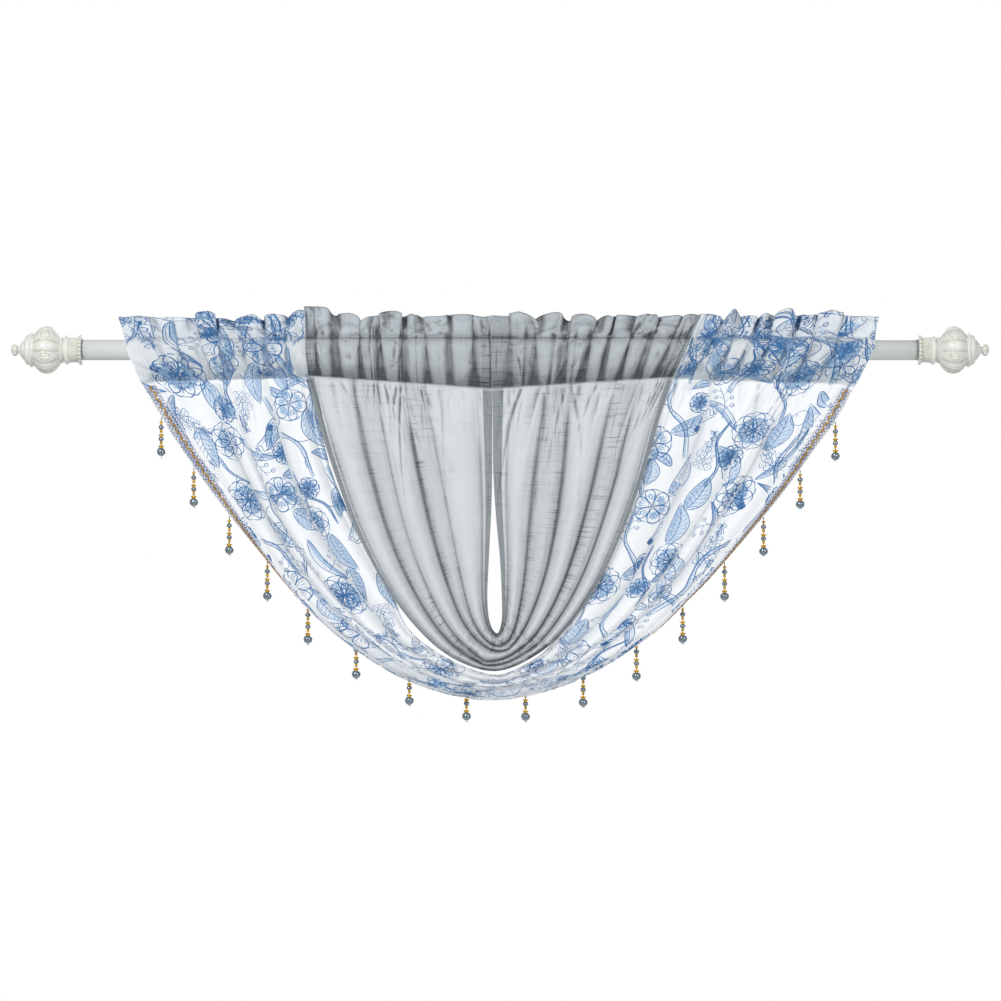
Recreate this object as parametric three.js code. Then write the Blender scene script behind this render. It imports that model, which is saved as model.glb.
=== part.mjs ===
// Swag valance on a curtain rod. Two sheer cloths hang one inside the other, each in a U from two
// gathered headings: a plain grey one in the middle and a blue printed one round it, whose outer
// edge carries a braid with sixteen bead drops. A turned finial closes each end of the rod.
// Millimetres, +Z up, front towards -Y. The origin is on the rod's axis, midway along it.
import * as THREE from "three";
import { mergeVertices } from "three/addons/utils/BufferGeometryUtils.js";

// Rod and finials
const rodRadius = 13.25;
const finialMouth = 543;
const socketDepth = 12;
const socketClearance = 0.3;
const rodSides = 32;
const finialSides = 24;
const finialLobes = 12;
const finialTurn = 20.5; // degrees from the front down to the nearest lower lobe's crest
const lobeDepth = 0.07;

// Cloth
const clothThickness = 1.4;
const steepestThickening = 2.2;
const headerThickness = 2.8;
const ruffleThickness = { mid: 3.1, top: 2 };
const upperStitch = 16.9;
const stitchAllowance = 1.3;
const headerMid = 0.55;
const headerSway = { stitch: 1.2, mid: 3.5, top: 5.5 };
const meanSwell = 4;
const backSwellShare = 0.5;
const shallowestFold = 0.3;
const foldGrowthShare = 0.14;
const edgeLeanAtHeading = 0.35;
const headingSections = 1.5;
const stepsPerSection = 2;
const columnsPerFold = 2;

// Braid along the printed cloth's outer edge, and the drops on it
const braidWidth = 17;
const braidSteps = 4;
const rollSteps = 3;
const rollLength = 10;
const braidThickness = 1.4;
const pieceGap = 0.3;
const dropCount = 16;
const firstDropAt = 18;
const lastDropAt = 27;
const dropReach = 1.0;
const dropSetBack = 1.2;
const dropSetBackTurn = 135;
const dropSides = 6;

// Pocket that the rod goes through, from the upper stitching down: half its depth inside, the
// cloth's depth there, its height as a size or as a share of the lower stitching's drop, and how
// much of a gather's swell it shows.
const pocket = [
  { half: 10.8, depth: 1.9, height: 10.2, share: 0, swell: 0.45 },
  { half: 15.2, depth: 1.5, height: 0, share: 0, swell: 1 },
  { half: 13.4, depth: 1.5, height: 0, share: 0.42, swell: 0.9 },
  { half: 7.6, depth: 1.6, height: 0, share: 0.74, swell: 0.5 },
];

// Sections across each cloth, from the left heading round to the right one: its outer and inner
// edge. The printed cloth goes on past its outer fold by a band, turned under by some degrees.
const greySections = [
  { outerX: -248, outerZ: -34, innerX: -11.5, innerZ: -51 },
  { outerX: -235, outerZ: -91, innerX: -11, innerZ: -98 },
  { outerX: -211, outerZ: -169, innerX: -11, innerZ: -150 },
  { outerX: -182, outerZ: -244, innerX: -11.8, innerZ: -202 },
  { outerX: -142, outerZ: -317, innerX: -14.5, innerZ: -260 },
  { outerX: -93, outerZ: -376, innerX: -17, innerZ: -321 },
  { outerX: -47, outerZ: -407, innerX: -13.5, innerZ: -355 },
  { outerX: 0, outerZ: -416, innerX: -4, innerZ: -369 },
  { outerX: 51, outerZ: -393, innerX: 2.5, innerZ: -354 },
  { outerX: 90, outerZ: -357, innerX: 3, innerZ: -322 },
  { outerX: 128, outerZ: -302, innerX: 0.8, innerZ: -273 },
  { outerX: 160, outerZ: -233, innerX: -4, innerZ: -221 },
  { outerX: 185, outerZ: -163, innerX: -7.8, innerZ: -163 },
  { outerX: 205, outerZ: -91, innerX: -8.5, innerZ: -98 },
  { outerX: 222, outerZ: -36, innerX: -9.3, innerZ: -51 },
];
const printedSections = [
  { outerX: -445, outerZ: -41, innerX: -251, innerZ: -36, band: 20, turn: 0 },
  { outerX: -414, outerZ: -91, innerX: -244, innerZ: -63, band: 20, turn: 0 },
  { outerX: -382, outerZ: -140, innerX: -235.5, innerZ: -101, band: 20, turn: 15 },
  { outerX: -345, outerZ: -195, innerX: -221, innerZ: -156, band: 21, turn: 45 },
  { outerX: -309, outerZ: -248, innerX: -201.5, innerZ: -204, band: 22, turn: 72 },
  { outerX: -271, outerZ: -300, innerX: -176, innerZ: -254, band: 23, turn: 92 },
  { outerX: -231, outerZ: -346, innerX: -143.5, innerZ: -313, band: 24, turn: 107 },
  { outerX: -169, outerZ: -397, innerX: -118, innerZ: -365, band: 26, turn: 135 },
  { outerX: -101, outerZ: -433, innerX: -68, innerZ: -402, band: 28, turn: 150 },
  { outerX: -17, outerZ: -451, innerX: -8, innerZ: -423, band: 28, turn: 155 },
  { outerX: 61, outerZ: -439, innerX: 34, innerZ: -409, band: 27, turn: 142 },
  { outerX: 130, outerZ: -408, innerX: 64, innerZ: -387, band: 25, turn: 118 },
  { outerX: 194, outerZ: -363, innerX: 97, innerZ: -344, band: 23, turn: 98 },
  { outerX: 237, outerZ: -320, innerX: 129, innerZ: -295, band: 22, turn: 88 },
  { outerX: 274, outerZ: -280, innerX: 154, innerZ: -240, band: 22, turn: 79 },
  { outerX: 345, outerZ: -190, innerX: 183, innerZ: -160, band: 22, turn: 60 },
  { outerX: 393, outerZ: -120, innerX: 200.5, innerZ: -99, band: 20, turn: 38 },
  { outerX: 418, outerZ: -83, innerX: 215.5, innerZ: -64, band: 20, turn: 12 },
  { outerX: 441, outerZ: -44, innerX: 225.5, innerZ: -38, band: 20, turn: 0 },
];

// Fold lines along each cloth, from its outer edge in: their share of the width at the left
// heading, low on the left, at the bottom, low on the right and at the right heading, and how far
// forward they lie on the left, at the bottom and on the right.
const greyFolds = [
  { left: 0, lowL: 0, bottom: 0, lowR: 0, right: 0, frontL: 0, frontB: 0, frontR: 1 },
  { left: 0.05, lowL: 0.04, bottom: 0.04, lowR: 0.04, right: 0.04, frontL: -3, frontB: -2, frontR: -3 },
  { left: 0.1, lowL: 0.12, bottom: 0.1, lowR: 0.1, right: 0.1, frontL: 9, frontB: 8, frontR: 7 },
  { left: 0.25, lowL: 0.21, bottom: 0.18, lowR: 0.18, right: 0.18, frontL: -9, frontB: -6, frontR: -6 },
  { left: 0.34, lowL: 0.3, bottom: 0.26, lowR: 0.25, right: 0.25, frontL: 2, frontB: 4, frontR: 5 },
  { left: 0.38, lowL: 0.34, bottom: 0.33, lowR: 0.33, right: 0.31, frontL: -1, frontB: -5, frontR: -8 },
  { left: 0.47, lowL: 0.42, bottom: 0.43, lowR: 0.42, right: 0.44, frontL: 10, frontB: 11, frontR: 10 },
  { left: 0.53, lowL: 0.53, bottom: 0.56, lowR: 0.53, right: 0.56, frontL: -9, frontB: -7, frontR: -8 },
  { left: 0.59, lowL: 0.61, bottom: 0.64, lowR: 0.61, right: 0.62, frontL: 3, frontB: 4, frontR: 4 },
  { left: 0.64, lowL: 0.68, bottom: 0.71, lowR: 0.74, right: 0.69, frontL: -1, frontB: -6, frontR: -8 },
  { left: 0.73, lowL: 0.79, bottom: 0.81, lowR: 0.85, right: 0.8, frontL: 9, frontB: 11, frontR: 8 },
  { left: 0.92, lowL: 0.93, bottom: 0.92, lowR: 0.92, right: 0.9, frontL: -4, frontB: -4, frontR: -2 },
  { left: 1, lowL: 1, bottom: 1, lowR: 1, right: 1, frontL: 2, frontB: 3, frontR: 2 },
];
const printedFolds = [
  { left: 0, lowL: 0, bottom: 0, lowR: 0, right: 0, frontL: 0, frontB: 0, frontR: 0 },
  { left: 0.14, lowL: 0.07, bottom: 0.14, lowR: 0.09, right: 0.11, frontL: 7, frontB: 5, frontR: 6 },
  { left: 0.33, lowL: 0.19, bottom: 0.3, lowR: 0.22, right: 0.27, frontL: -7, frontB: 0, frontR: -7 },
  { left: 0.39, lowL: 0.26, bottom: 0.38, lowR: 0.3, right: 0.35, frontL: 1, frontB: 3, frontR: 2 },
  { left: 0.46, lowL: 0.3, bottom: 0.44, lowR: 0.36, right: 0.43, frontL: -3, frontB: 0, frontR: -2 },
  { left: 0.57, lowL: 0.39, bottom: 0.56, lowR: 0.45, right: 0.61, frontL: 9, frontB: 7, frontR: 8 },
  { left: 0.72, lowL: 0.6, bottom: 0.7, lowR: 0.63, right: 0.75, frontL: -8, frontB: -3, frontR: -8 },
  { left: 0.87, lowL: 0.81, bottom: 0.86, lowR: 0.87, right: 0.9, frontL: 8, frontB: 6, frontR: 7 },
  { left: 0.95, lowL: 0.94, bottom: 0.95, lowR: 0.95, right: 0.96, frontL: -4, frontB: -2, frontR: -4 },
  { left: 1, lowL: 1, bottom: 1, lowR: 1, right: 1, frontL: -7, frontB: -4, frontR: -7 },
];

// Headings: where the outer and inner edge cross the rod and the ruffle's top, and the gathers
// from the outer edge in, each with its share of the width, the height that its ruffle reaches,
// the height of the dip after it, and its swell over the rod.
const greyLeftHeading = {
  outerRod: -252,
  outerTop: -253,
  innerRod: -12.5,
  innerTop: -13.5,
  gathers: [
    { at: 0.03, top: 57, dip: 56, swell: 2 },
    { at: 0.1, top: 56, dip: 45, swell: 6 },
    { at: 0.24, top: 48, dip: 33, swell: 8 },
    { at: 0.35, top: 44, dip: 46, swell: 6 },
    { at: 0.47, top: 51, dip: 44, swell: 8 },
    { at: 0.59, top: 46, dip: 42, swell: 7 },
    { at: 0.72, top: 44, dip: 45, swell: 7 },
    { at: 0.83, top: 46, dip: 45, swell: 5 },
    { at: 0.97, top: 44, dip: 44, swell: 3 },
  ],
};
const greyRightHeading = {
  outerRod: 239,
  outerTop: 259,
  innerRod: -10.3,
  innerTop: -11.3,
  gathers: [
    { at: 0.05, top: 47, dip: 42, swell: 3 },
    { at: 0.14, top: 45, dip: 41, swell: 6 },
    { at: 0.25, top: 47, dip: 43, swell: 7 },
    { at: 0.36, top: 45, dip: 43, swell: 8 },
    { at: 0.45, top: 46, dip: 34, swell: 7 },
    { at: 0.56, top: 47, dip: 38, swell: 8 },
    { at: 0.69, top: 49, dip: 35, swell: 7 },
    { at: 0.85, top: 49, dip: 48, swell: 5 },
    { at: 0.97, top: 45, dip: 44, swell: 3 },
  ],
};
const printedLeftHeading = {
  outerRod: -463,
  outerTop: -476,
  innerRod: -254.5,
  innerTop: -256,
  gathers: [
    { at: 0.02, top: 44, dip: 43, swell: 2 },
    { at: 0.16, top: 43, dip: 42, swell: 7 },
    { at: 0.29, top: 42, dip: 42, swell: 6 },
    { at: 0.43, top: 51, dip: 42, swell: 7 },
    { at: 0.52, top: 41, dip: 35, swell: 6 },
    { at: 0.7, top: 46, dip: 39, swell: 8 },
    { at: 0.81, top: 47, dip: 40, swell: 7 },
    { at: 0.96, top: 52, dip: 52, swell: 5 },
  ],
};
const printedRightHeading = {
  outerRod: 464,
  outerTop: 472,
  innerRod: 243.5,
  innerTop: 263,
  gathers: [
    { at: 0.05, top: 44, dip: 48, swell: 4 },
    { at: 0.2, top: 52, dip: 46, swell: 8 },
    { at: 0.36, top: 46, dip: 45, swell: 7 },
    { at: 0.46, top: 54, dip: 40, swell: 8 },
    { at: 0.6, top: 48, dip: 41, swell: 7 },
    { at: 0.7, top: 45, dip: 40, swell: 6 },
    { at: 0.8, top: 51, dip: 32, swell: 8 },
    { at: 0.95, top: 47, dip: 44, swell: 5 },
  ],
};

// Finial from its mouth on the rod out to its tip: radius and distance along the axis. The
// melon between the two neck rings is an arc of its own.
const melon = { from: 28, to: 64, radius: 30.9, steps: 7, neck: 17 };
const finialCollar = [
  { radius: 19.5, along: 0 },
  { radius: 19.5, along: 2.5 },
  { radius: 16.6, along: 4 },
  { radius: 16.6, along: 15.5 },
  { radius: 18.9, along: 17 },
  { radius: 18.9, along: 20.5 },
  { radius: 14, along: 21.5 },
  { radius: 14, along: 23.5 },
  { radius: 16.6, along: 24.5 },
  { radius: 16.6, along: 27 },
];
const finialTip = [
  { radius: 22, along: 65 },
  { radius: 22, along: 73 },
  { radius: 13, along: 75 },
  { radius: 6, along: 78 },
  { radius: 5.5, along: 81 },
  { radius: 7.8, along: 84 },
  { radius: 7.8, along: 89 },
  { radius: 4, along: 93 },
];

// Bead drop from the top of its thread down: radius and distance below the braid's edge.
const dropProfile = [
  { radius: 0.6, below: 0 },
  { radius: 0.6, below: 4.6 },
  { radius: 3.6, below: 12.4 },
  { radius: 1.5, below: 18.5 },
  { radius: 3.6, below: 23 },
  { radius: 3.6, below: 28 },
  { radius: 1.7, below: 33.5 },
  { radius: 4.6, below: 38 },
  { radius: 5.9, below: 44.2 },
  { radius: 2.3, below: 50 },
  { radius: 2, below: 53 },
];

const lerp = (a, b, t) => a + (b - a) * t;
const ease = (t) => 0.5 - 0.5 * Math.cos(Math.PI * t);

// A smooth curve through one column of a table, at a place counted in rows.
function along(table, column, place) {
  const last = table.length - 1;
  const i = Math.min(Math.floor(place), last - 1);
  const t = place - i;
  const p1 = table[i][column];
  const p2 = table[i + 1][column];
  const p0 = i > 0 ? table[i - 1][column] : 2 * p1 - p2;
  const p3 = i < last - 1 ? table[i + 2][column] : 2 * p2 - p1;
  const rise = 2 * p0 - 5 * p1 + 4 * p2 - p3;
  const bend = 3 * (p1 - p2) + p3 - p0;
  return p1 + 0.5 * t * (p2 - p0 + t * (rise + t * bend));
}

// A fold line's share of the width, and how far forward it lies, at progress 0 to 1 round the cloth.
function foldAt(fold, progress) {
  const shares = [fold.left, fold.lowL, fold.bottom, fold.lowR, fold.right];
  const fronts = [fold.frontL, fold.frontL, fold.frontB, fold.frontR, fold.frontR];
  const table = shares.map((share, i) => ({ share, front: fronts[i] }));
  return { share: along(table, "share", progress * 4), front: along(table, "front", progress * 4) };
}

// The columns of a cloth: the band from its free edge in, first under the braid and then to the
// outer fold, and after it each fold line and the steps between.
function columnsOf(cloth) {
  const columns = [];
  if (cloth.banded) {
    for (let i = 0; i <= braidSteps; i++) {
      columns.push({ fromEdge: (braidWidth * i) / braidSteps, roll: 0, fold: 0, t: 0 });
    }
    for (let i = 1; i < rollSteps; i++) {
      columns.push({ fromEdge: braidWidth, roll: i / rollSteps, fold: 0, t: 0 });
    }
  }
  for (let i = 0; i < cloth.folds.length - 1; i++) {
    for (let j = 0; j < columnsPerFold; j++) {
      columns.push({ fromEdge: 0, roll: 1, fold: i, t: j / columnsPerFold });
    }
  }
  columns.push({ fromEdge: 0, roll: 1, fold: cloth.folds.length - 2, t: 1 });
  return columns;
}

// How far a column lies beyond the outer fold. It is 0 for the hanging cloth itself.
function beyondFold(cloth, column, place) {
  if (column.roll === 1) return 0;
  return (along(cloth.sections, "band", place) - column.fromEdge) * (1 - column.roll);
}

// A column's share of the width and its forward place, at progress 0 to 1 round the cloth.
function columnAt(folds, column, progress) {
  const a = foldAt(folds[column.fold], progress);
  const b = foldAt(folds[column.fold + 1], progress);
  return { share: lerp(a.share, b.share, column.t), front: lerp(a.front, b.front, ease(column.t)) };
}

// A heading's ruffle height and swell at a share of its width.
function gatherAt(gathers, share) {
  const stops = gathers.flatMap((g, i) => {
    const next = gathers[i + 1];
    const crest = { at: g.at, top: g.top, swell: g.swell };
    return next ? [crest, { at: (g.at + next.at) / 2, top: g.dip, swell: 0 }] : [crest];
  });
  const i = stops.findIndex((stop) => stop.at > share);
  if (i === 0) return stops[0];
  if (i < 0) return stops[stops.length - 1];
  const a = stops[i - 1];
  const b = stops[i];
  const t = ease((share - a.at) / (b.at - a.at));
  return { top: lerp(a.top, b.top, t), swell: lerp(a.swell, b.swell, t) };
}

// The folds start shallow at the stitching and reach their full depth a little below it.
function foldGrowth(progress) {
  const fromEnd = Math.min(progress, 1 - progress) / foldGrowthShare;
  return lerp(shallowestFold, 1, ease(Math.min(1, fromEnd)));
}

// The point of the cloth's middle surface at one column and one place among the sections.
function bodyPoint(cloth, column, place) {
  const progress = place / (cloth.sections.length - 1);
  const outer = new THREE.Vector2(
    along(cloth.sections, "outerX", place),
    along(cloth.sections, "outerZ", place),
  );
  const inner = new THREE.Vector2(
    along(cloth.sections, "innerX", place),
    along(cloth.sections, "innerZ", place),
  );
  const { share, front } = columnAt(cloth.folds, column, progress);
  const flat = outer.lerp(inner, share);
  const point = new THREE.Vector3(flat.x, -front * foldGrowth(progress), flat.y);
  if (column.roll < 1) point.add(bandOffset(cloth, beyondFold(cloth, column, place), place));
  return point;
}

// How far the turned-under band stands off the fold line, at a distance across the band.
function bandOffset(cloth, across, place) {
  const turn = THREE.MathUtils.degToRad(along(cloth.sections, "turn", place));
  const out = outwards(cloth, place);
  const round = Math.min(across, rollLength);
  const rest = across - round;
  const angle = (turn * round) / rollLength;
  const flat = turn > 0.01 ? (rollLength / turn) * Math.sin(angle) : round;
  const back = turn > 0.01 ? (rollLength / turn) * (1 - Math.cos(angle)) : 0;
  const reach = flat + rest * Math.cos(angle);
  return new THREE.Vector3(out.x * reach, back + rest * Math.sin(angle), out.y * reach);
}

// The direction across the band, square to the fold line and away from the cloth.
function outwards(cloth, place) {
  const step = 0.2;
  const last = cloth.sections.length - 1;
  const a = Math.max(0, place - step);
  const b = Math.min(last, place + step);
  const dx = along(cloth.sections, "outerX", b) - along(cloth.sections, "outerX", a);
  const dz = along(cloth.sections, "outerZ", b) - along(cloth.sections, "outerZ", a);
  const square = new THREE.Vector2(dz, -dx).normalize();
  const side = new THREE.Vector2(place < last / 2 ? -1 : 1, 0);
  const fromEnd = Math.min(1, Math.min(place, last - place) / headingSections);
  return side.lerp(square, lerp(edgeLeanAtHeading, 1, fromEnd)).normalize();
}

// One column of a heading: its place across the rod at the ruffle's top, the upper stitching and
// the rod, with the gather that it lies on. The lower stitching is the cloth's first section.
function headingColumn(cloth, heading, column, atRight) {
  const last = cloth.sections.length - 1;
  const low = bodyPoint(cloth, column, atRight ? last : 0);
  const { share } = columnAt(cloth.folds, column, atRight ? 1 : 0);
  const side = atRight ? 1 : -1;
  const beyond = side * beyondFold(cloth, column, atRight ? last : 0);
  const rodX = lerp(heading.outerRod, heading.innerRod, share) + beyond;
  const topX = lerp(heading.outerTop, heading.innerTop, share) + beyond;
  const { top, swell } = gatherAt(heading.gathers, share);
  const widthShare = (z) => (z > 0 ? z / top : z / low.z);
  const xAt = (z) => lerp(rodX, z > 0 ? topX : low.x, widthShare(z));
  return { low, top, swell, xAt };
}

// The rows of a heading from the ruffle's top down to the lower stitching. Each row holds the
// front and back of the cloth in each column, and inside the pocket its two inner faces too.
function headingRows(cloth, heading, columns, atRight) {
  const parts = columns.map((column) => headingColumn(cloth, heading, column, atRight));
  const swayOf = (part, amount) => -amount * (part.swell / meanSwell - 1);
  const layer = (amount, thickness, heightOf) => ({
    front: parts.map((p) => {
      const z = heightOf(p);
      return new THREE.Vector3(p.xAt(z), swayOf(p, amount) - thickness / 2, z);
    }),
    back: parts.map((p) => {
      const z = heightOf(p);
      return new THREE.Vector3(p.xAt(z), swayOf(p, amount) + thickness / 2, z);
    }),
  });
  const top = layer(headerSway.top, ruffleThickness.top, (p) => p.top);
  const mid = layer(headerSway.mid, ruffleThickness.mid, (p) =>
    lerp(upperStitch, p.top, headerMid),
  );
  const stitched = layer(headerSway.stitch, headerThickness, () => upperStitch);
  stitched.seam = parts.map((p) => {
    const z = upperStitch - stitchAllowance;
    return new THREE.Vector3(p.xAt(z), swayOf(p, headerSway.stitch), z);
  });
  const inside = pocket.map((row) => pocketRow(parts, row));
  const lowest = {
    front: parts.map((p) => p.low.clone().add(new THREE.Vector3(0, -headerThickness / 2, 0))),
    back: parts.map((p) => p.low.clone().add(new THREE.Vector3(0, headerThickness / 2, 0))),
    seam: parts.map((p) => p.low.clone().add(new THREE.Vector3(0, 0, stitchAllowance))),
  };
  return [top, mid, stitched, ...inside, lowest];
}

function pocketRow(parts, row) {
  const heightOf = (p) => row.height + row.share * p.low.z;
  const at = (p, y) => new THREE.Vector3(p.xAt(heightOf(p)), y, heightOf(p));
  const swellOf = (p) => p.swell * row.swell;
  return {
    front: parts.map((p) => at(p, -row.half - row.depth - swellOf(p))),
    frontInner: parts.map((p) => at(p, -row.half - swellOf(p))),
    backInner: parts.map((p) => at(p, row.half + backSwellShare * swellOf(p))),
    back: parts.map((p) => at(p, row.half + row.depth + backSwellShare * swellOf(p))),
  };
}

// The rows of the hanging cloth between its two lower stitchings.
function bodyRows(cloth, columns) {
  const last = cloth.sections.length - 1;
  const rows = [];
  for (let i = 1; i < last * stepsPerSection; i++) {
    const place = i / stepsPerSection;
    const faces = columns.map((column, c) => facesAt(cloth, columns, c, place, clothThickness));
    rows.push({ front: faces.map((f) => f.front), back: faces.map((f) => f.back) });
  }
  return rows;
}

// The front direction, square to the cloth, at one column and place.
function frontNormal(cloth, columns, c, place) {
  const step = 0.25;
  const last = cloth.sections.length - 1;
  const before = bodyPoint(cloth, columns[c], Math.max(0, place - step));
  const after = bodyPoint(cloth, columns[c], Math.min(last, place + step));
  const outer = bodyPoint(cloth, columns[Math.max(0, c - 1)], place);
  const inner = bodyPoint(cloth, columns[Math.min(columns.length - 1, c + 1)], place);
  return after.sub(before).cross(inner.sub(outer)).normalize();
}

// Front and back of the cloth. The hanging cloth is thickened straight back and forth, so that
// close folds never meet, and the turned-under band square to its own surface.
function facesAt(cloth, columns, c, place, thickness) {
  const middle = bodyPoint(cloth, columns[c], place);
  const normal = frontNormal(cloth, columns, c, place);
  if (columns[c].roll === 1) {
    const slope = Math.max(1 / steepestThickening, Math.abs(normal.y));
    normal.set(0, -1 / slope, 0);
  }
  return {
    front: middle.clone().addScaledVector(normal, thickness / 2),
    back: middle.clone().addScaledVector(normal, -thickness / 2),
  };
}

// Collects points and faces, and gives one closed geometry.
class Shell {
  constructor() {
    this.points = [];
    this.faces = [];
  }
  add(point) {
    this.points.push(point.x, point.y, point.z);
    return this.points.length / 3 - 1;
  }
  polygon(...corners) {
    for (let i = 1; i < corners.length - 1; i++) {
      this.faces.push(corners[0], corners[i], corners[i + 1]);
    }
  }
  geometry() {
    const geometry = new THREE.BufferGeometry();
    geometry.setAttribute("position", new THREE.Float32BufferAttribute(this.points, 3));
    geometry.setIndex(this.faces);
    const merged = mergeVertices(geometry, 1e-4);
    merged.computeVertexNormals();
    return merged;
  }
}

// A closed sheet from its rows. Between a row with a seam and the next one with a seam the sheet
// is a pocket with a passage through it, and elsewhere it is solid from front to back.
function sheetGeometry(rows) {
  const shell = new Shell();
  const ids = rows.map((row) => {
    const front = row.front.map((p) => shell.add(p));
    const back = row.back.map((p) => shell.add(p));
    const seam = row.seam && row.seam.map((p) => shell.add(p));
    const frontInner = row.frontInner ? row.frontInner.map((p) => shell.add(p)) : seam;
    const backInner = row.backInner ? row.backInner.map((p) => shell.add(p)) : seam;
    return { front, back, seam, frontInner, backInner };
  });
  const last = ids.length - 1;
  const end = ids[0].front.length - 1;
  for (let r = 0; r < last; r++) {
    const a = ids[r];
    const b = ids[r + 1];
    const hollow = a.frontInner && b.frontInner;
    for (let c = 0; c < end; c++) {
      shell.polygon(a.front[c], b.front[c], b.front[c + 1], a.front[c + 1]);
      shell.polygon(a.back[c], a.back[c + 1], b.back[c + 1], b.back[c]);
      if (hollow) {
        shell.polygon(a.frontInner[c], a.frontInner[c + 1], b.frontInner[c + 1], b.frontInner[c]);
        shell.polygon(a.backInner[c], b.backInner[c], b.backInner[c + 1], a.backInner[c + 1]);
      }
    }
    if (hollow) {
      shell.polygon(a.front[0], a.frontInner[0], b.frontInner[0], b.front[0]);
      shell.polygon(a.backInner[0], a.back[0], b.back[0], b.backInner[0]);
      shell.polygon(a.front[end], b.front[end], b.frontInner[end], a.frontInner[end]);
      shell.polygon(a.backInner[end], b.backInner[end], b.back[end], a.back[end]);
    } else {
      const upper = (c) => (a.seam ? [a.front[c], a.seam[c], a.back[c]] : [a.front[c], a.back[c]]);
      const lower = (c) => (b.seam ? [b.back[c], b.seam[c], b.front[c]] : [b.back[c], b.front[c]]);
      sideFaces(shell, upper(0), lower(0), Boolean(a.seam));
      sideFaces(shell, lower(end).reverse(), upper(end).reverse(), Boolean(b.seam));
    }
  }
  for (let c = 0; c < end; c++) {
    const a = ids[0];
    const b = ids[last];
    shell.polygon(a.front[c], a.front[c + 1], a.back[c + 1], a.back[c]);
    shell.polygon(b.front[c], b.back[c], b.back[c + 1], b.front[c + 1]);
  }
  return shell.geometry();
}

// The narrow face at a sheet's side between two rows, fanned from a corner away from the seam.
function sideFaces(shell, upper, lower, seamInUpper) {
  if (seamInUpper) shell.polygon(...lower, ...upper);
  else shell.polygon(...upper, ...lower);
}

function swagGeometry(cloth) {
  const columns = columnsOf(cloth);
  const left = headingRows(cloth, cloth.leftHeading, columns, false);
  const right = headingRows(cloth, cloth.rightHeading, columns, true).reverse();
  return sheetGeometry([...left, ...bodyRows(cloth, columns), ...right]);
}

// The braid lies on the front of the printed cloth's band, and follows it as it turns under.
function braidRows(cloth) {
  const last = cloth.sections.length - 1;
  const columns = columnsOf(cloth);
  const lift = clothThickness / 2 + pieceGap;
  const rows = [];
  for (let i = 1; i < last * stepsPerSection; i++) {
    const place = i / stepsPerSection;
    const faces = columns.slice(0, braidSteps + 1).map((column, c) => {
      const middle = bodyPoint(cloth, column, place);
      const normal = frontNormal(cloth, columns, c, place);
      return {
        front: middle.clone().addScaledVector(normal, lift + braidThickness),
        back: middle.clone().addScaledVector(normal, lift),
      };
    });
    rows.push({ front: faces.map((f) => f.front), back: faces.map((f) => f.back) });
  }
  return rows;
}

// Places evenly spaced along the braid's outer edge, each with the point where a drop starts.
function dropStarts(cloth) {
  const rows = braidRows(cloth);
  const edge = rows.map((row, i) => {
    const middle = row.front[0].clone().lerp(row.back[0], 0.5);
    const inward = row.front[1].clone().lerp(row.back[1], 0.5);
    const across = middle.clone().sub(inward).normalize();
    const normal = row.front[0].clone().sub(row.back[0]).normalize();
    const turn = along(cloth.sections, "turn", (i + 1) / stepsPerSection);
    return { middle, across, normal, turn };
  });
  const lengths = [0];
  edge.slice(1).forEach((e, i) => lengths.push(lengths[i] + e.middle.distanceTo(edge[i].middle)));
  const total = lengths[lengths.length - 1];
  const pitch = (total - firstDropAt - lastDropAt) / (dropCount - 1);
  return Array.from({ length: dropCount }, (_, n) => {
    const distance = firstDropAt + n * pitch;
    const i = Math.max(1, lengths.findIndex((length) => length >= distance));
    const t = (distance - lengths[i - 1]) / (lengths[i] - lengths[i - 1]);
    const a = edge[i - 1];
    const b = edge[i];
    const setBack = (dropSetBack * lerp(a.turn, b.turn, t)) / dropSetBackTurn;
    return a.middle
      .clone()
      .lerp(b.middle, t)
      .addScaledVector(a.across.clone().lerp(b.across, t).normalize(), dropReach)
      .addScaledVector(a.normal.clone().lerp(b.normal, t).normalize(), setBack);
  });
}

function dropGeometry() {
  const profile = dropProfile.map((p) => new THREE.Vector2(p.radius, -p.below));
  const lowest = dropProfile[dropProfile.length - 1].below;
  const outline = [new THREE.Vector2(0, -lowest), ...profile.reverse(), new THREE.Vector2(0, 0)];
  const geometry = new THREE.LatheGeometry(outline, dropSides);
  geometry.rotateX(Math.PI / 2);
  return geometry;
}

function finialGeometry(side) {
  const bore = rodRadius + socketClearance;
  const point = (radius, distance) => new THREE.Vector2(radius, distance);
  const outline = [point(0, socketDepth), point(bore, socketDepth), point(bore, 0)];
  finialCollar.forEach((p) => outline.push(point(p.radius, p.along)));
  for (let i = 0; i <= melon.steps; i++) {
    const t = i / melon.steps;
    const crown = Math.sin(Math.PI * lerp(0.04, 0.96, t));
    outline.push(point(lerp(melon.neck, melon.radius, crown), lerp(melon.from, melon.to, t)));
  }
  finialTip.forEach((p) => outline.push(point(p.radius, p.along)));
  outline.push(point(0, finialTip[finialTip.length - 1].along));
  const geometry = new THREE.LatheGeometry(outline, finialSides);
  const place = geometry.getAttribute("position");
  for (let i = 0; i < place.count; i++) {
    const distance = place.getY(i);
    if (distance < melon.from || distance > melon.to) continue;
    if (Math.hypot(place.getX(i), place.getZ(i)) < melon.neck) continue;
    const angle = Math.atan2(place.getZ(i), place.getX(i));
    const groove = 1 - Math.abs(Math.cos((finialLobes / 2) * angle));
    const scale = 1 - lobeDepth * groove * groove;
    place.setXYZ(i, place.getX(i) * scale, distance, place.getZ(i) * scale);
  }
  geometry.rotateY((side * finialTurn * Math.PI) / 180);
  return geometry;
}

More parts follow.
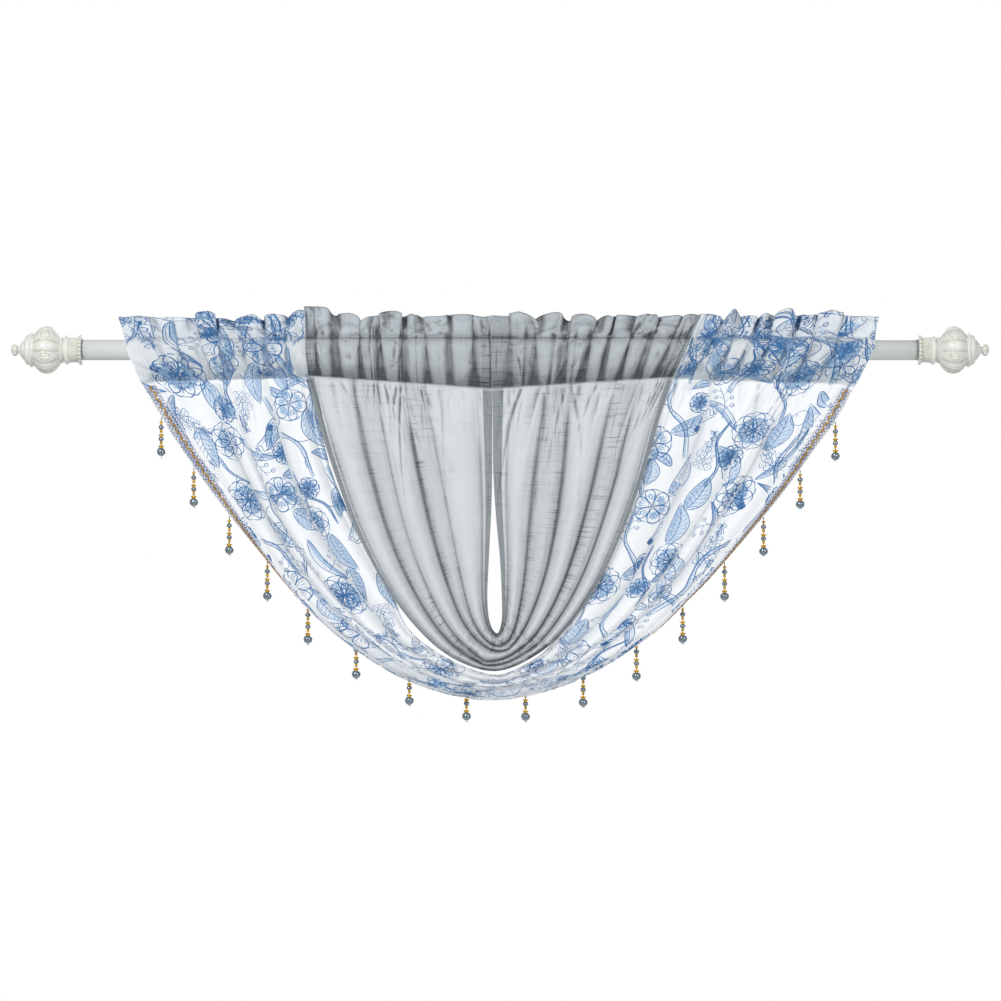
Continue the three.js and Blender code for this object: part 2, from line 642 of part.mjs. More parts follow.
function rodGeometry() {
  const halfLength = finialMouth + socketDepth - pieceGap;
  const geometry = new THREE.CylinderGeometry(rodRadius, rodRadius, 2 * halfLength, rodSides);
  geometry.rotateZ(Math.PI / 2);
  return geometry;
}

const finishes = {
  rod: { color: 0xd6dad9, roughness: 0.35, metalness: 0.1 },
  finial: { color: 0xd8d9d1, roughness: 0.4, metalness: 0 },
  grey: { color: 0xa3a9ac, roughness: 0.9, metalness: 0 },
  printed: { color: 0xc9d6e6, roughness: 0.9, metalness: 0 },
  braid: { color: 0xa8a8b4, roughness: 0.8, metalness: 0 },
  beads: { color: 0x5f6f7a, roughness: 0.25, metalness: 0.1 },
};

const group = new THREE.Group();

function addPiece(name, geometry, finish) {
  const piece = new THREE.Mesh(geometry, new THREE.MeshStandardMaterial(finishes[finish]));
  piece.name = name;
  group.add(piece);
  return piece;
}

const greyCloth = {
  sections: greySections,
  folds: greyFolds,
  leftHeading: greyLeftHeading,
  rightHeading: greyRightHeading,
  banded: false,
};
const printedCloth = {
  sections: printedSections,
  folds: printedFolds,
  leftHeading: printedLeftHeading,
  rightHeading: printedRightHeading,
  banded: true,
};

addPiece("rod", rodGeometry(), "rod");
for (const side of [-1, 1]) {
  const name = side < 0 ? "finial_left" : "finial_right";
  const finial = addPiece(name, finialGeometry(side), "finial");
  finial.position.x = side * finialMouth;
  finial.rotation.z = (-side * Math.PI) / 2;
}
addPiece("grey_swag", swagGeometry(greyCloth), "grey");
addPiece("printed_swag", swagGeometry(printedCloth), "printed");
addPiece("braid", sheetGeometry(braidRows(printedCloth)), "braid");
dropStarts(printedCloth).forEach((start, i) => {
  const drop = addPiece(`bead_drop_${String(i + 1).padStart(2, "0")}`, dropGeometry(), "beads");
  drop.position.copy(start);
});

export default group;
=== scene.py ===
"""Swag valance on a curtain rod: two sheer cloths hang one inside the other, each in a U from two
gathered headings. A plain grey one is in the middle and a blue printed one round it, with a braid
and bead drops along its outer edge. Tables and patterns are in millimetres, meshes in metres."""

import math

import bmesh
import bpy
import numpy as np
from mathutils import Matrix, Vector


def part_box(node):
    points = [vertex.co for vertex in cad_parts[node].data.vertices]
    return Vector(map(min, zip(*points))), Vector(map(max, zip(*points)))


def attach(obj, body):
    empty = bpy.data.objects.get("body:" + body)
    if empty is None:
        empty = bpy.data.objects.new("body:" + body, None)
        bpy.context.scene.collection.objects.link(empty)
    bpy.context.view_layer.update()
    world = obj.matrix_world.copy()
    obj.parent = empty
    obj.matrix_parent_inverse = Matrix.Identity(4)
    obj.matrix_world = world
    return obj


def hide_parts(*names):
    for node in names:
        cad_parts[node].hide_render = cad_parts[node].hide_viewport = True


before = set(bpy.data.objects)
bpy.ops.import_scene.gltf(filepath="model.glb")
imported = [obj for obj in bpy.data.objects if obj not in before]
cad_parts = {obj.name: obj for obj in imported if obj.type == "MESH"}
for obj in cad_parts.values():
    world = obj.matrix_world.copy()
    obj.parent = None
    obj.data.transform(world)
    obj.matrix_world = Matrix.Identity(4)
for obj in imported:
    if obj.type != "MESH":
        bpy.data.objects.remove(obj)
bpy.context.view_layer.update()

MM = 0.001

# Sizes, as in the part's source
ROD_RADIUS = 13.25
FINIAL_MOUTH = 543.0
UPPER_STITCH = 16.9
HEADER_MID = 0.55
MEAN_SWELL = 4.0
ROLL_LENGTH = 10.0
BRAID_WIDTH = 17.0
SHALLOWEST_FOLD = 0.3
FOLD_GROWTH_SHARE = 0.14

# Sizes of the finer model. The sheets reach a little past the solids' edges.
BAND_COLUMNS = 14
BAND_FLAT_WIDTH = 24.0
EDGE_REACH = 0.8
BRAID_ENDS = (4.0, 4.0)
BRAID_PITCH = 4.2
BRAID_SWING = 28.0
BRAID_THREADS = 5
BRAID_WARPS = (2.4, 4.4, 12.6, 14.8)
GOLD_WAVE_PITCH = 13
GOLD_WAVE_SWING = 1.6
DROP_THREAD_LENGTH = 44
DROP_THREAD_RADIUS = 0.45
# A real voile's threads lie about 0.3 mm apart, too fine to show, so the weave is drawn coarser.
WEAVE_PITCH = 0.0009

# The picture and its surroundings, in metres: the width that it shows, and how far down the floor is
VIEW_WIDTH = 1.3013
CAMERA_X, CAMERA_Z = 0.00065, -0.19565
FLOOR_HEIGHT = -1.05
LIGHTS_AIM = (0, 0, -0.2)


def table(names, rows):
    """A table of rows as one array for each named column."""
    return dict(zip(names.split(), np.array(rows, float).T))


GREY_SECTIONS = table(
    "outer_x outer_z inner_x inner_z",
    [
        (-248, -34, -11.5, -51),
        (-235, -91, -11, -98),
        (-211, -169, -11, -150),
        (-182, -244, -11.8, -202),
        (-142, -317, -14.5, -260),
        (-93, -376, -17, -321),
        (-47, -407, -13.5, -355),
        (0, -416, -4, -369),
        (51, -393, 2.5, -354),
        (90, -357, 3, -322),
        (128, -302, 0.8, -273),
        (160, -233, -4, -221),
        (185, -163, -7.8, -163),
        (205, -91, -8.5, -98),
        (222, -36, -9.3, -51),
    ],
)
PRINTED_SECTIONS = table(
    "outer_x outer_z inner_x inner_z band turn",
    [
        (-445, -41, -251, -36, 20, 0),
        (-414, -91, -244, -63, 20, 0),
        (-382, -140, -235.5, -101, 20, 15),
        (-345, -195, -221, -156, 21, 45),
        (-309, -248, -201.5, -204, 22, 72),
        (-271, -300, -176, -254, 23, 92),
        (-231, -346, -143.5, -313, 24, 107),
        (-169, -397, -118, -365, 26, 135),
        (-101, -433, -68, -402, 28, 150),
        (-17, -451, -8, -423, 28, 155),
        (61, -439, 34, -409, 27, 142),
        (130, -408, 64, -387, 25, 118),
        (194, -363, 97, -344, 23, 98),
        (237, -320, 129, -295, 22, 88),
        (274, -280, 154, -240, 22, 79),
        (345, -190, 183, -160, 22, 60),
        (393, -120, 200.5, -99, 20, 38),
        (418, -83, 215.5, -64, 20, 12),
        (441, -44, 225.5, -38, 20, 0),
    ],
)
FOLD_NAMES = "left low_l bottom low_r right front_l front_b front_r"
GREY_FOLDS = table(
    FOLD_NAMES,
    [
        (0, 0, 0, 0, 0, 0, 0, 1),
        (0.05, 0.04, 0.04, 0.04, 0.04, -3, -2, -3),
        (0.1, 0.12, 0.1, 0.1, 0.1, 9, 8, 7),
        (0.25, 0.21, 0.18, 0.18, 0.18, -9, -6, -6),
        (0.34, 0.3, 0.26, 0.25, 0.25, 2, 4, 5),
        (0.38, 0.34, 0.33, 0.33, 0.31, -1, -5, -8),
        (0.47, 0.42, 0.43, 0.42, 0.44, 10, 11, 10),
        (0.53, 0.53, 0.56, 0.53, 0.56, -9, -7, -8),
        (0.59, 0.61, 0.64, 0.61, 0.62, 3, 4, 4),
        (0.64, 0.68, 0.71, 0.74, 0.69, -1, -6, -8),
        (0.73, 0.79, 0.81, 0.85, 0.8, 9, 11, 8),
        (0.92, 0.93, 0.92, 0.92, 0.9, -4, -4, -2),
        (1, 1, 1, 1, 1, 2, 3, 2),
    ],
)
PRINTED_FOLDS = table(
    FOLD_NAMES,
    [
        (0, 0, 0, 0, 0, 0, 0, 0),
        (0.14, 0.07, 0.14, 0.09, 0.11, 7, 5, 6),
        (0.33, 0.19, 0.3, 0.22, 0.27, -7, 0, -7),
        (0.39, 0.26, 0.38, 0.3, 0.35, 1, 3, 2),
        (0.46, 0.3, 0.44, 0.36, 0.43, -3, 0, -2),
        (0.57, 0.39, 0.56, 0.45, 0.61, 9, 7, 8),
        (0.72, 0.6, 0.7, 0.63, 0.75, -8, -3, -8),
        (0.87, 0.81, 0.86, 0.87, 0.9, 8, 6, 7),
        (0.95, 0.94, 0.95, 0.95, 0.96, -4, -2, -4),
        (1, 1, 1, 1, 1, -7, -4, -7),
    ],
)


def heading_ends(outer, inner, rows):
    """A heading: where its outer and its inner edge lie at the rod and at the ruffle's top, and a row
    for each gather with its share of the width, its height, the dip after it and its swell."""
    return {
        "outer_rod": outer[0],
        "outer_top": outer[1],
        "inner_rod": inner[0],
        "inner_top": inner[1],
        "gathers": table("at top dip swell", rows),
    }


GREY_LEFT = heading_ends(
    (-252, -253),
    (-12.5, -13.5),
    [
        (0.03, 57, 56, 2),
        (0.1, 56, 45, 6),
        (0.24, 48, 33, 8),
        (0.35, 44, 46, 6),
        (0.47, 51, 44, 8),
        (0.59, 46, 42, 7),
        (0.72, 44, 45, 7),
        (0.83, 46, 45, 5),
        (0.97, 44, 44, 3),
    ],
)
GREY_RIGHT = heading_ends(
    (239, 259),
    (-10.3, -11.3),
    [
        (0.05, 47, 42, 3),
        (0.14, 45, 41, 6),
        (0.25, 47, 43, 7),
        (0.36, 45, 43, 8),
        (0.45, 46, 34, 7),
        (0.56, 47, 38, 8),
        (0.69, 49, 35, 7),
        (0.85, 49, 48, 5),
        (0.97, 45, 44, 3),
    ],
)
PRINTED_LEFT = heading_ends(
    (-463, -476),
    (-254.5, -256),
    [
        (0.02, 44, 43, 2),
        (0.16, 43, 42, 7),
        (0.29, 42, 42, 6),
        (0.43, 51, 42, 7),
        (0.52, 41, 35, 6),
        (0.7, 46, 39, 8),
        (0.81, 47, 40, 7),
        (0.96, 52, 52, 5),
    ],
)
PRINTED_RIGHT = heading_ends(
    (464, 472),
    (243.5, 263),
    [
        (0.05, 44, 48, 4),
        (0.2, 52, 46, 8),
        (0.36, 46, 45, 7),
        (0.46, 54, 40, 8),
        (0.6, 48, 41, 7),
        (0.7, 45, 40, 6),
        (0.8, 51, 32, 8),
        (0.95, 47, 44, 5),
    ],
)
# The rod pocket from the upper stitching down: how far the cloth stands off the rod's axis, its
# height as a size or as a share of the lower stitching's drop, and how much of a gather it shows.
POCKET = table(
    "stand height share swell",
    [(11.7, 10.2, 0, 0.45), (15.9, 0, 0, 1), (14.1, 0, 0.42, 0.9), (8.3, 0, 0.74, 0.5)],
)

# Drop from the top of its thread down: each bead's kind, distance down, radius and flattening.
DROP_BEADS = [
    ("thread", 1.2, 0.9, 1.0),
    ("gold", 6.0, 2.2, 0.8),
    ("gold", 8.3, 1.5, 0.7),
    ("pearl", 12.3, 3.6, 0.9),
    ("gold", 16.6, 2.0, 0.6),
    ("gold", 18.4, 2.1, 0.6),
    ("gold", 22.5, 3.6, 0.42),
    ("gold", 24.2, 2.4, 0.5),
    ("pearl", 27.6, 3.6, 0.9),
    ("gold", 31.6, 1.9, 0.6),
    ("gold", 33.4, 2.1, 0.6),
    ("gold", 37.2, 3.9, 0.4),
    ("pearl", 44.2, 5.8, 0.98),
    ("gold", 38.9, 2.6, 0.5),
    ("clear", 51.0, 1.9, 1.0),
]


# Curves and folds
def lerp(a, b, t):
    return a + (b - a) * t


def ease(t):
    return 0.5 - 0.5 * np.cos(np.pi * np.clip(t, 0, 1))


def smooth_curve(values, place):
    """A smooth curve through values along their first axis, at places counted in rows."""
    values = np.asarray(values, float)
    place = np.asarray(place, float)
    ends = 2 * values[:1] - values[1:2], 2 * values[-1:] - values[-2:-1]
    padded = np.concatenate([ends[0], values, ends[1]])
    i = np.clip(np.floor(place).astype(int), 0, len(values) - 2)
    t = place - i
    if values.ndim > 1:
        t = t.reshape(t.shape + (1,) * (values.ndim - 1))
    p0, p1, p2, p3 = (padded[i + k] for k in range(4))
    bend = 3 * (p1 - p2) + p3 - p0
    return p1 + 0.5 * t * (p2 - p0 + t * (2 * p0 - 5 * p1 + 4 * p2 - p3 + t * bend))


def fold_lines(folds, progress):
    """Each fold line's share of the width and forward place, at progress 0 to 1 round the cloth."""
    shares = np.stack([folds[k] for k in ("left", "low_l", "bottom", "low_r", "right")])
    keys = ("front_l", "front_l", "front_b", "front_r", "front_r")
    fronts = np.stack([folds[k] for k in keys])
    return smooth_curve(shares, progress * 4), smooth_curve(fronts, progress * 4)


def fold_section(a, b, t):
    """From one fold line's forward place to the next one's: broad on a crest, sharp in a valley."""
    sharp = np.where(a > b, t**2.4, 1 - (1 - t) ** 2.4)
    return a + (b - a) * lerp(ease(t), sharp, 0.75)


def outwards(sections, place):
    """The direction across the band at each place, square to the outer fold, away from the cloth."""
    last = len(sections["outer_x"]) - 1
    a, b = np.maximum(place - 0.2, 0), np.minimum(place + 0.2, last)
    ends = [[smooth_curve(sections[k], p) for k in ("outer_x", "outer_z")] for p in (a, b)]
    dx, dz = ends[1][0] - ends[0][0], ends[1][1] - ends[0][1]
    square = np.stack([dz, -dx], -1) / np.hypot(dx, dz)[..., None]
    side = np.stack([np.where(place < last / 2, -1.0, 1.0), np.zeros_like(place)], -1)
    near_end = np.minimum(1, np.minimum(place, last - place) / 1.5)[..., None]
    mixed = lerp(side, square, lerp(0.35, 1, near_end))
    return mixed / np.linalg.norm(mixed, axis=-1, keepdims=True)


def band_offset(sections, across, place):
    """How far the turned-under band stands off the outer fold, at distances across it."""
    turn = np.radians(smooth_curve(sections["turn"], place))[:, None]
    out = outwards(sections, place)[:, None, :]
    bent = np.maximum(turn, 0.01)
    arc = np.minimum(across, ROLL_LENGTH)
    angle = bent * arc / ROLL_LENGTH
    reach = ROLL_LENGTH / bent * np.sin(angle) + (across - arc) * np.cos(angle)
    back = ROLL_LENGTH / bent * (1 - np.cos(angle)) + (across - arc) * np.sin(angle)
    return np.stack([out[..., 0] * reach, back, out[..., 1] * reach], -1)


def body_points(cloth, place):
    """The hanging cloth's points at places among its sections, one row for each place."""
    sections, columns = cloth["sections"], cloth["columns"]
    progress = place / (len(sections["outer_x"]) - 1)
    shares, fronts = fold_lines(cloth["folds"], progress)
    i, t = columns["fold"], columns["t"]
    share = lerp(shares[:, i], shares[:, i + 1], t)
    front = fold_section(fronts[:, i], fronts[:, i + 1], t)
    grown = lerp(SHALLOWEST_FOLD, 1, ease(np.minimum(progress, 1 - progress) / FOLD_GROWTH_SHARE))
    outer = np.stack([smooth_curve(sections[k], place) for k in ("outer_x", "outer_z")], -1)
    inner = np.stack([smooth_curve(sections[k], place) for k in ("inner_x", "inner_z")], -1)
    across = (inner - outer) / np.linalg.norm(inner - outer, axis=1)[:, None]
    near = ease(1 - np.minimum(progress, 1 - progress) / 0.25)[:, None]
    more = [across * lerp(EDGE_REACH, at_heading, near) for at_heading in cloth["reach"]]
    flat = lerp((outer - more[0])[:, None], (inner + more[1])[:, None], share[..., None])
    points = np.stack([flat[..., 0], -front * grown[:, None], flat[..., 1]], -1)
    for at, x, depth in cloth["tips"]:
        near_share = np.exp(-(((share - at) / 0.15) ** 2)) * np.sin(np.pi * share)
        points[..., 2] -= depth * near_share * np.exp(-np.abs(points[..., 0] - x) / 15) * (
            ease(np.minimum(progress, 1 - progress) / 0.3)[:, None]
        )
    if "band" in sections:
        across = smooth_curve(sections["band"], place)[:, None] * columns["beyond"]
        points += band_offset(sections, across, place)
    return points, share


def gather_shape(gathers, share):
    """A heading's ruffle height, swell and place within its gather, at shares of its width. The
    last is 0 on a crest and -1 or 1 in the dips beside it."""
    at, count = gathers["at"], len(gathers["at"])
    mids = (at[1:] + at[:-1]) / 2
    stops = np.empty(2 * count - 1)
    stops[0::2], stops[1::2] = at, mids
    tops = np.empty_like(stops)
    tops[0::2], tops[1::2] = gathers["top"], gathers["dip"][:-1]
    swells = np.zeros_like(stops)
    swells[0::2] = gathers["swell"]
    inside = np.clip(share, at[0], at[-1])
    i = np.clip(np.searchsorted(stops, inside, side="right") - 1, 0, len(stops) - 2)
    t = (inside - stops[i]) / (stops[i + 1] - stops[i])
    from_crest = i % 2 == 0
    swell_t = ease((t - 0.25) / 0.6) * from_crest + ease((t - 0.15) / 0.6) * ~from_crest
    within = np.where(from_crest, t, t - 1)
    pitch = 2 * (stops[i + 1] - stops[i])
    return lerp(tops[i], tops[i + 1], ease(t)), lerp(swells[i], swells[i + 1], swell_t), within, pitch


def wrinkles(seed, count, columns, rows, width, length, depth, ends=(0, 1), slant=0.05):
    """Soft creases that start at each of the ends, given as shares of the rows, and fade away from
    them, as gathers do."""
    rng = np.random.default_rng(seed)
    across = np.linspace(0, 1, columns)[None, :]
    down = rows[:, None]
    total = np.zeros((len(rows), columns))
    for end in ends:
        for _ in range(count):
            centre, drift = rng.uniform(0, 1), rng.normal(0, slant)
            w = width * rng.uniform(0.5, 1.6)
            reach = length * rng.uniform(0.25, 1.6)
            height = depth * rng.normal(0, 1)
            away = np.abs(down - end)
            line = across - centre - drift * away / max(length, 1e-6)
            total += height * np.exp(-((line / w) ** 2)) * np.exp(-((away / reach) ** 2))
    return total


def heading_rows(cloth, heading, at_right, seed):
    """A heading's points from the lower stitching at the back, up over the ruffle's top and down
    to the lower stitching in front, one row after another."""
    sections, columns = cloth["sections"], cloth["columns"]
    last = len(sections["outer_x"]) - 1
    side = 1.0 if at_right else -1.0
    low, share = (a[0] for a in body_points(cloth, np.array([last if at_right else 0.0])))
    top, swell, within, pitch = gather_shape(heading["gathers"], share)
    beyond = 0.0
    if "band" in sections:
        band = sections["band"][-1 if at_right else 0]
        beyond = side * band * columns["beyond"]
    beside = share + 0.035 * np.sin(23 * share + seed) * np.sin(np.pi * share)
    loop_swell = gather_shape(heading["gathers"], beside)[1]
    lean = pitch * np.sin(np.pi * within) * (1 + 0.9 * np.sin(31 * share + seed))
    grow = side * cloth["reach"][0], -side * cloth["reach"][1]
    rod_ends = heading["outer_rod"] + grow[0], heading["inner_rod"] + grow[1]
    top_ends = heading["outer_top"] + grow[0], heading["inner_top"] + grow[1]
    rod_x = lerp(*rod_ends, share + cloth["undercut"][0] * lean) + beyond
    top_x = lerp(*top_ends, share + cloth["undercut"][1] * lean) + beyond
    low_z = low[:, 2]
    count = len(share)
    ruffle = np.linspace(1, 0, cloth["ruffle_rows"])
    pocket = np.linspace(0, 5, cloth["pocket_rows"])[1:]
    in_ruffle, in_pocket = (np.linspace(0, 1, len(part)) for part in (ruffle, pocket))
    one_row = np.array([0.0])
    fine = wrinkles(seed, 80, count, in_ruffle, 0.009, 0.8, 1.0)
    fine += wrinkles(seed + 5, 34, count, in_ruffle, 0.02, 0.9, 2.2, slant=0.15)
    fine_back = wrinkles(seed + 1, 60, count, in_ruffle, 0.008, 0.9, 0.55)
    fine_pocket = wrinkles(seed + 2, 110, count, in_pocket, 0.008, 0.45, 1.3, slant=0.07)
    fine_pocket += wrinkles(seed + 6, 34, count, in_pocket, 0.018, 0.6, 2.4, slant=0.14)
    uneven = wrinkles(seed + 3, 26, count, one_row, 0.012, 1, 0.8, ends=(0,))[0]
    # Where the gathers pinch at the upper stitching: used only as painted shade there
    pinch_shade = wrinkles(seed + 7, 70, count, one_row, 0.007, 1, 0.7, ends=(0,))[0]
    pinch_shade = np.clip(pinch_shade, 0, 1)

    def at_height(z, y):
        """Points at one height for each column."""
        up = z > 0
        share_of = np.where(up, z / top, z / low_z)
        x = np.where(up, lerp(rod_x, top_x, share_of), lerp(rod_x, low[:, 0], share_of))
        return np.stack([x, y, z], -1)

    def ruffle_row(r, q, front):
        sway = np.interp(q, [0, HEADER_MID, 1], [1.2, 4.5, 8.0])
        half = np.interp(q, [0, 0.15, 0.6, 0.93, 1], [0.35, 1.1, 1.5, 0.8, 0.12])
        loops = lerp(swell, loop_swell, min(1, 4 * q))
        middle = -sway * (loops / MEAN_SWELL - 1)
        wave = fine[r] if front else fine_back[r]
        z = lerp(UPPER_STITCH, top + uneven, q)
        return at_height(z, middle + (-half if front else half) + wave * min(1, 4 * q + 0.3) * 0.8)

    def pocket_row(r, k, front):
        sign = -1 if front else 1
        show = 1.0 if front else 0.5
        upper_y = 1.2 * (swell / MEAN_SWELL - 1)
        heights = np.stack(
            [np.full(count, UPPER_STITCH)]
            + [POCKET["height"][j] + POCKET["share"][j] * low_z for j in range(4)]
            + [low_z]
        )
        stands = np.stack(
            [0.35 + upper_y * (1 if front else -1)]
            + [POCKET["stand"][j] + show * POCKET["swell"][j] * swell for j in range(4)]
            + [0.35 - low[:, 1] if front else low[:, 1] + 0.5]
        )
        z, stand = smooth_curve(heights, np.array([k]))[0], smooth_curve(stands, np.array([k]))[0]
        rise = math.sin(math.pi * k / 5) ** 0.5 if 0 < k < 5 else 0.0
        relief = np.maximum(fine_pocket[r] + 0.9, 0)
        return at_height(z, sign * (stand + rise * relief * show))

    rows = [pocket_row(r, k, False) for r, k in reversed(list(enumerate(pocket)))]
    rows += [ruffle_row(r, q, False) for r, q in reversed(list(enumerate(ruffle)))]
    rows += [ruffle_row(r, q, True) for r, q in list(enumerate(ruffle))[1:]]
    rows += [pocket_row(r, k, True) for r, k in list(enumerate(pocket))[:-1]]
    # Painted shade on the heading: a little on its back, more in the dips between gathers and at the
    # pinches near the upper stitching, a dark line along that stitching and darker bands along the
    # pocket's top and bottom
    dip, loop_dip = (np.clip(1 - w / 7, 0, 1) ** 1.5 for w in (swell, loop_swell))
    strength, down = cloth["pocket_shade"], pocket[:-1]
    deep = strength * np.interp(down, [0, 0.4, 1.2, 2.6, 3.8, 5], [1, 0.6, 0.4, 0.5, 0.7, 0.8])
    low_band_shade = strength * np.interp(down, [0, 0.25, 0.6, 3.0, 4.4, 5], [0.3, 0.3, 0, 0, 0.3, 0.3])
    shade = [np.full(count, 0.1)] * (len(pocket) + len(ruffle))
    stitch_shade = strength * 0.45
    for q in ruffle[1:]:
        gathered = lerp(dip, loop_dip, min(1, 3 * q))
        shade_at_stitch = stitch_shade * math.exp(-((q / 0.09) ** 2)) * (0.6 + pinch_shade)
        shade.append(strength * (0.75 * gathered + 0.9 * pinch_shade) * (1 - q) ** 1.6 + shade_at_stitch)
    shade += [d * (dip + 0.9 * pinch_shade) + e for d, e in zip(deep, low_band_shade)]
    return np.stack(rows), np.clip(np.stack(shade), 0, 1)


def grid_normals(points):
    """The direction square to a grid of points, towards the face side."""
    down = np.gradient(points, axis=0)
    across = np.gradient(points, axis=1)
    n = np.cross(down, across)
    return n / np.maximum(np.linalg.norm(n, axis=-1, keepdims=True), 1e-9)


def far_along(line):
    """The distance along a line of points, from its start to each of them."""
    return np.concatenate([[0], np.cumsum(np.linalg.norm(np.diff(line, axis=0), axis=1))])


def lengths_along(points, axis):
    """The mean distance covered along one axis of a grid of points, from its start."""
    steps = np.linalg.norm(np.diff(points, axis=axis), axis=-1).mean(axis=1 - axis)
    return np.concatenate([[0], np.cumsum(steps)])


def sheet_grid(cloth):
    """The whole cloth as one grid: back of the left heading, over its ruffle, down the front, round
    the swag and up the right heading the same way."""
    last = len(cloth["sections"]["outer_x"]) - 1
    place = np.linspace(0, last, cloth["body_rows"])
    body, share = body_points(cloth, place)
    columns = body.shape[1]
    progress = place / last
    long = wrinkles(cloth["seed"], cloth["creases"], columns, progress, 0.011, 0.1, 1.3)
    at_bottom = (0.43, 0.48, 0.52, 0.57)
    low = wrinkles(
        cloth["seed"] + 9, 12, columns, progress, 0.05, 0.05, 4.5, ends=at_bottom, slant=1.0
    )
    free = np.minimum(1, np.minimum(progress, 1 - progress) / 0.01)[:, None]
    body = body + (long + low)[..., None] * free[..., None] * np.array([0, -1, 0])
    left, left_shade = heading_rows(cloth, cloth["left"], False, cloth["seed"] + 20)
    right, right_shade = heading_rows(cloth, cloth["right"], True, cloth["seed"] + 30)
    grid = np.concatenate([left, body, right[::-1]])
    # Painted shade: dark lines along the fold valleys, more in the hollows between neighbouring points
    # and where the cloth turns edge on to the front, a little less round the bottom of the swag
    shade = np.concatenate([left_shade, fold_shade(body, progress, cloth), right_shade[::-1]])
    facing = np.abs(grid_normals(grid)[..., 1])
    steep = np.clip(1 / np.maximum(facing, 0.2) - 1, 0, 3) / 3
    in_heading = np.ones((len(grid), 1))
    in_heading[len(left) : len(left) + len(body)] = 0
    shade = np.maximum(shade, cloth["crease_shade"] * hollows(grid, 3, lerp(1.3, 0.8, in_heading)))
    shade = np.maximum(shade, cloth["crease_shade"] * hollows(grid, 8, lerp(5.0, 2.6, in_heading)))
    shade = np.clip(shade + cloth["shade_steep"] * steep, 0, 1)
    middle = np.exp(-(((np.arange(len(grid)) - len(grid) / 2) / (0.15 * len(grid))) ** 2))
    shade *= (1 - 0.3 * middle)[:, None]
    shade[:, cloth["columns"]["beyond"] > 0] = 0.1
    spans = {"left": len(left), "right": len(left) + len(body)}
    return grid, share.mean(axis=0), spans, shade


def hollows(points, reach, depth):
    """How deep each point lies between its neighbours in a row, 0 to 1 at the depth given."""
    front = -points[..., 1]
    padded = np.pad(front, ((0, 0), (reach, reach)), mode="edge")
    around = np.stack([padded[:, k : k + front.shape[1]] for k in range(2 * reach + 1)]).mean(axis=0)
    return np.clip((around - front) / depth, 0, 1)


def fold_shade(body, progress, cloth):
    """Painted shade: a dark line along each valley. It fades over some mm on its outer side and ends at
    once on its inner side, where the next fold lies over it."""
    fronts = fold_lines(cloth["folds"], progress)[1]
    flat = body[..., [0, 2]]
    steps = np.linalg.norm(np.diff(flat, axis=1), axis=2)
    arc = np.concatenate([np.zeros((len(body), 1)), np.cumsum(steps, axis=1)], axis=1)
    per, first = cloth["per_fold"], int((cloth["columns"]["beyond"] > 0).sum())
    total = np.zeros(body.shape[:2])
    grown = lerp(0.55, 1, ease(np.minimum(progress, 1 - progress) / 0.1))
    width = cloth["shade_width"] * (1 - 0.45 * np.exp(-(((progress - 0.5) / 0.15) ** 2)))[:, None]
    for k in range(1, fronts.shape[1] - 1):
        depth = (fronts[:, k - 1] + fronts[:, k + 1]) / 2 - fronts[:, k]
        strength = np.clip(depth / 11, 0, 1) ** 0.7 * grown * cloth["shade_depth"]
        strength *= 0.75 + 0.25 * np.sin(3.1 * k + 9 * progress)
        away = arc - arc[:, first + per * k][:, None]
        line = np.where(away < 0, np.exp(away / width), np.exp(-((away / 0.9) ** 2)))
        total = np.maximum(total, strength[:, None] * line)
    return total


# Meshes
def new_object(name, mesh, smooth=True):
    piece = bpy.data.objects.new(name, mesh)
    bpy.context.scene.collection.objects.link(piece)
    if smooth:
        mesh.shade_smooth()
    return piece


def finished(bm, name):
    """The mesh that a bmesh makes, which it is then done with."""
    mesh = bpy.data.meshes.new(name)
    bm.to_mesh(mesh)
    bm.free()
    return mesh


def grid_mesh(name, grid, u, v, **facts):
    """A sheet from a grid of points in mm, with its flat place in mm as UV and attributes such as
    how thick the cloth is there and its painted shade."""
    rows, columns = grid.shape[:2]
    bm = bmesh.new()
    bmesh.ops.create_grid(bm, x_segments=columns - 1, y_segments=rows - 1, size=0.5)
    mesh = finished(bm, name)
    start = np.empty(len(mesh.vertices) * 3)
    mesh.vertices.foreach_get("co", start)
    start = start.reshape(-1, 3)
    i = np.rint((start[:, 0] + 0.5) * (columns - 1)).astype(int)
    j = np.rint((start[:, 1] + 0.5) * (rows - 1)).astype(int)
    mesh.vertices.foreach_set("co", (grid[j, i] * MM).ravel())
    corner = np.empty(len(mesh.loops), int)
    mesh.loops.foreach_get("vertex_index", corner)
    flat = np.stack([u[i], v[j]], -1)[corner] * MM
    mesh.uv_layers.new(name="flat").data.foreach_set("uv", flat.ravel())
    for key, values in facts.items():
        mesh.attributes.new(key, "FLOAT", "POINT").data.foreach_set("value", values[j, i])
    mesh.update()
    return mesh


# Materials
def linear(hex_colour):
    """An sRGB hex colour as linear red, green, blue and alpha."""
    parts = [int(hex_colour[k : k + 2], 16) / 255 for k in (0, 2, 4)]
    return tuple(c / 12.92 if c <= 0.04045 else ((c + 0.055) / 1.055) ** 2.4 for c in parts) + (1.0,)


def new_material(name):
    material = bpy.data.materials.new(name)
    material.use_nodes = True
    material.node_tree.nodes.clear()
    return material


def node(material, kind, settings=None, **inputs):
    """Adds a node. Inputs are values or sockets, named with _ for a space or numbered as i0, i1."""
    made = material.node_tree.nodes.new(kind)
    for key, value in (settings or {}).items():
        setattr(made, key, value)
    for key, value in inputs.items():
        place = int(key[1:]) if key[0] == "i" and key[1:].isdigit() else key.replace("_", " ")
        socket = made.inputs[place]
        if isinstance(value, bpy.types.NodeSocket):
            material.node_tree.links.new(value, socket)
        else:
            socket.default_value = value
    return made


def maths(material, operation, a, b=0.0, clamp=False):
    return node(
        material, "ShaderNodeMath", {"operation": operation, "use_clamp": clamp}, i0=a, i1=b
    ).outputs[0]


